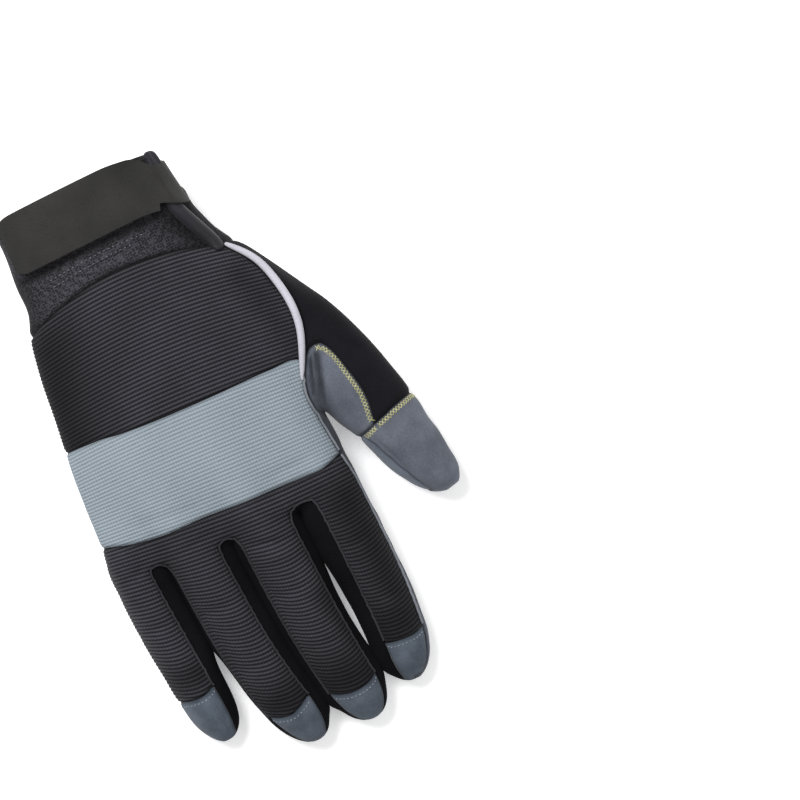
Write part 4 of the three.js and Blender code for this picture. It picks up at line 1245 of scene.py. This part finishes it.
def drawnLine(rows, out):
    # a smooth line through places on the glove, well above its back or below its palm
    away = out * threadLook["lineAway"] * mm
    return [(onGlove(x, y, threadLook["lineHeight"] * mm) + away, out) for x, y in smoothRow(rows)]


def evenSpots(spots, pitch):
    # spots at an even pitch along a line, with the way along it
    even = []
    gone = 0.0
    due = 0.0
    for (a, outA), (b, outB) in zip(spots, spots[1:]):
        length = (b - a).length / mm
        while length > 0 and due <= gone + length:
            t = (due - gone) / length
            even.append((a.lerp(b, t), outA.lerp(outB, t).normalized(), (b - a).normalized()))
            due += pitch
        gone += length
    return even


def settle(spot, out):
    # the cloth's surface nearest to a spot, or straight in from it for a line drawn well away
    hit, normal, number, distance = clothTree.find_nearest(spot)
    if distance > threadLook["nearCloth"] * mm:
        hit, normal = clothTree.ray_cast(spot, -out)[:2]
    return hit, normal if normal.dot(out) > 0 else -normal


def addStitch(bm, a, b, out, radius):
    # a stitch is a long bead, a little sunk in the cloth and a little longer than its span
    way = b - a
    turn = way.to_track_quat("Z", "Y").to_matrix().to_4x4()
    place = Matrix.Translation((a + b) / 2 + out * radius * threadLook["sunk"])
    size = Matrix.Diagonal((radius, radius, way.length * threadLook["length"], 1))
    bmesh.ops.create_uvsphere(
        bm, u_segments=threadLook["sides"], v_segments=threadLook["rings"], radius=1,
        matrix=place @ turn @ size,
    )


def sewStitches(name, look):
    # crossed stitches where the seam has a width, running ones where it has none
    bm = bmesh.new()
    for spots in look["lines"]:
        even = evenSpots(spots, look["pitch"])
        for i, (spot, out, way) in enumerate(even[:-1]):
            spotNext, outNext, wayNext = even[i + 1]
            side = way.cross(out).normalized() * look["width"] / 2 * mm
            sideNext = wayNext.cross(outNext).normalized() * look["width"] / 2 * mm
            if look["width"]:
                pairs = [(spot + side * s, spotNext - sideNext * s) for s in (1, -1)]
            else:
                pairs = [(spot, spot.lerp(spotNext, look["fill"]))]
            for start, end in pairs:
                (a, outA), (b, outB) = settle(start, out), settle(end, outNext)
                if (a - b).length < threadLook["longest"] * look["pitch"] * mm + look["width"] * mm:
                    addStitch(bm, a, b, (outA + outB).normalized(), look["radius"] * mm)
    addPiece(meshOf(bm, name), name, look)
    bm.free()


outerPadOutside = [
    (-42, 46.5), (-25, 48.5), (-4, 55.5), (4, 70), (19, 100), (28.5, 113), (31, 126.5), (23, 141.5),
    (12, 145), (-20, 143.5), (-50, 140),
]
betweenPads = [
    (-46, 67.3), (-31, 69.2), (-21, 75), (-14, 87.5), (-3.5, 109), (4, 118.2), (-2.5, 123.8), (-25, 123.2),
    (-49.5, 120.2),
]


def beyond(spots, across):
    # the part of a line that lies further towards the thumb
    return [s for s in spots if acrossOf(s[0].x) > across]


stitchLooks = {
    "yellowStitches": {
        "material": "yellowThread", "slot": "suede_grey", "pitch": 1.5, "width": 2.2, "radius": 0.24,
        "lines": [
            beyond(seamLine("thumb_saddle", "thumb_back", 1.6), 49),
            seamLine("thumb_cap", "thumb_back", 1.4),
            seamLine("thumb_cap", "thumb_saddle", 1.4),
            seamLine("thumb_front", "palm_panel", 1.6),
            drawnLine(outerPadOutside, onPalm),
            drawnLine(betweenPads, onPalm),
        ],
    },
    "indexStitches": {
        "material": "yellowThread", "slot": "suede_grey", "pitch": 2.4, "width": 0.0, "radius": 0.17,
        "fill": 0.7,
        "lines": [seamLine("thumb_saddle", "palm_panel", 1.6)],
    },
    "capStitches": {
        "material": "greyThread", "slot": "suede_cap", "pitch": 1.7, "width": 0.0, "radius": 0.22,
        "fill": 0.4,
        "lines": [seamLine(cap, "finger_back_panel", 1.9) for cap in capPlaces],
    },
    "cuffStitches": {
        "material": "cuffThread", "slot": "cuff_knit", "pitch": 2.0, "width": 0.0, "radius": 0.26,
        "fill": 0.4,
        "lines": [
            drawnLine([(-32, 30.6), (-20, 29.9), (-5, 29.6), (10, 30.4)], onBack),
            drawnLine([(-32, 33.4), (-20, 32.6), (-5, 32.0), (4, 32.2)], onBack),
            drawnLine([(-15, 42.0), (0, 38.6), (14, 36.2)], onPalm),
        ],
    },
}
for name, look in stitchLooks.items():
    sewStitches(name, look)


def makeWelt(name, look):
    # a thin cord sewn along seams
    curve = bpy.data.curves.new(name, "CURVE")
    curve.dimensions = "3D"
    curve.bevel_depth = look["radius"] * mm
    curve.bevel_resolution = 2
    curve.use_fill_caps = True
    for spots in look["lines"]:
        even = [settle(spot, out) for spot, out, way in evenSpots(spots, look["pitch"])]
        spline = curve.splines.new("POLY")
        spline.points.add(len(even) - 1)
        for point, (spot, out) in zip(spline.points, even):
            point.co = (*(spot + out * look["radius"] * look["stands"] * mm), 1.0)
    obj = bpy.data.objects.new(name, curve)
    mesh = bpy.data.meshes.new_from_object(obj)
    bpy.data.objects.remove(obj)
    mesh.name = name
    addPiece(mesh, name, look)


# the light edge along the index finger, on its side of the glove alone and without stray short runs
indexSide = {"from": 20, "leastSpots": 9, "into": 0.7}
weltLines = []
for name in ("knuckle_band", "finger_back_panel"):
    for other in ("thumb_saddle", "palm_panel"):
        line = beyond(seamLine(name, other, indexSide["into"]), indexSide["from"])
        if len(line) >= indexSide["leastSpots"]:
            weltLines.append(line)
rolledLines = [seamLine("finger_back_panel", strip, 0.3) for strip in stripMeets]
weltLooks = {
    "indexWelt": {
        "material": "edgeWelt", "slot": "piping_grey", "radius": 0.5, "stands": 1.5, "pitch": 1.2,
        "lines": weltLines,
    },
    "rolledEdges": {
        "material": "rolledKnit", "slot": "knit_black", "radius": 0.5, "stands": 0.5, "pitch": 1.2,
        "lines": rolledLines,
    },
}
for name, look in weltLooks.items():
    makeWelt(name, look)
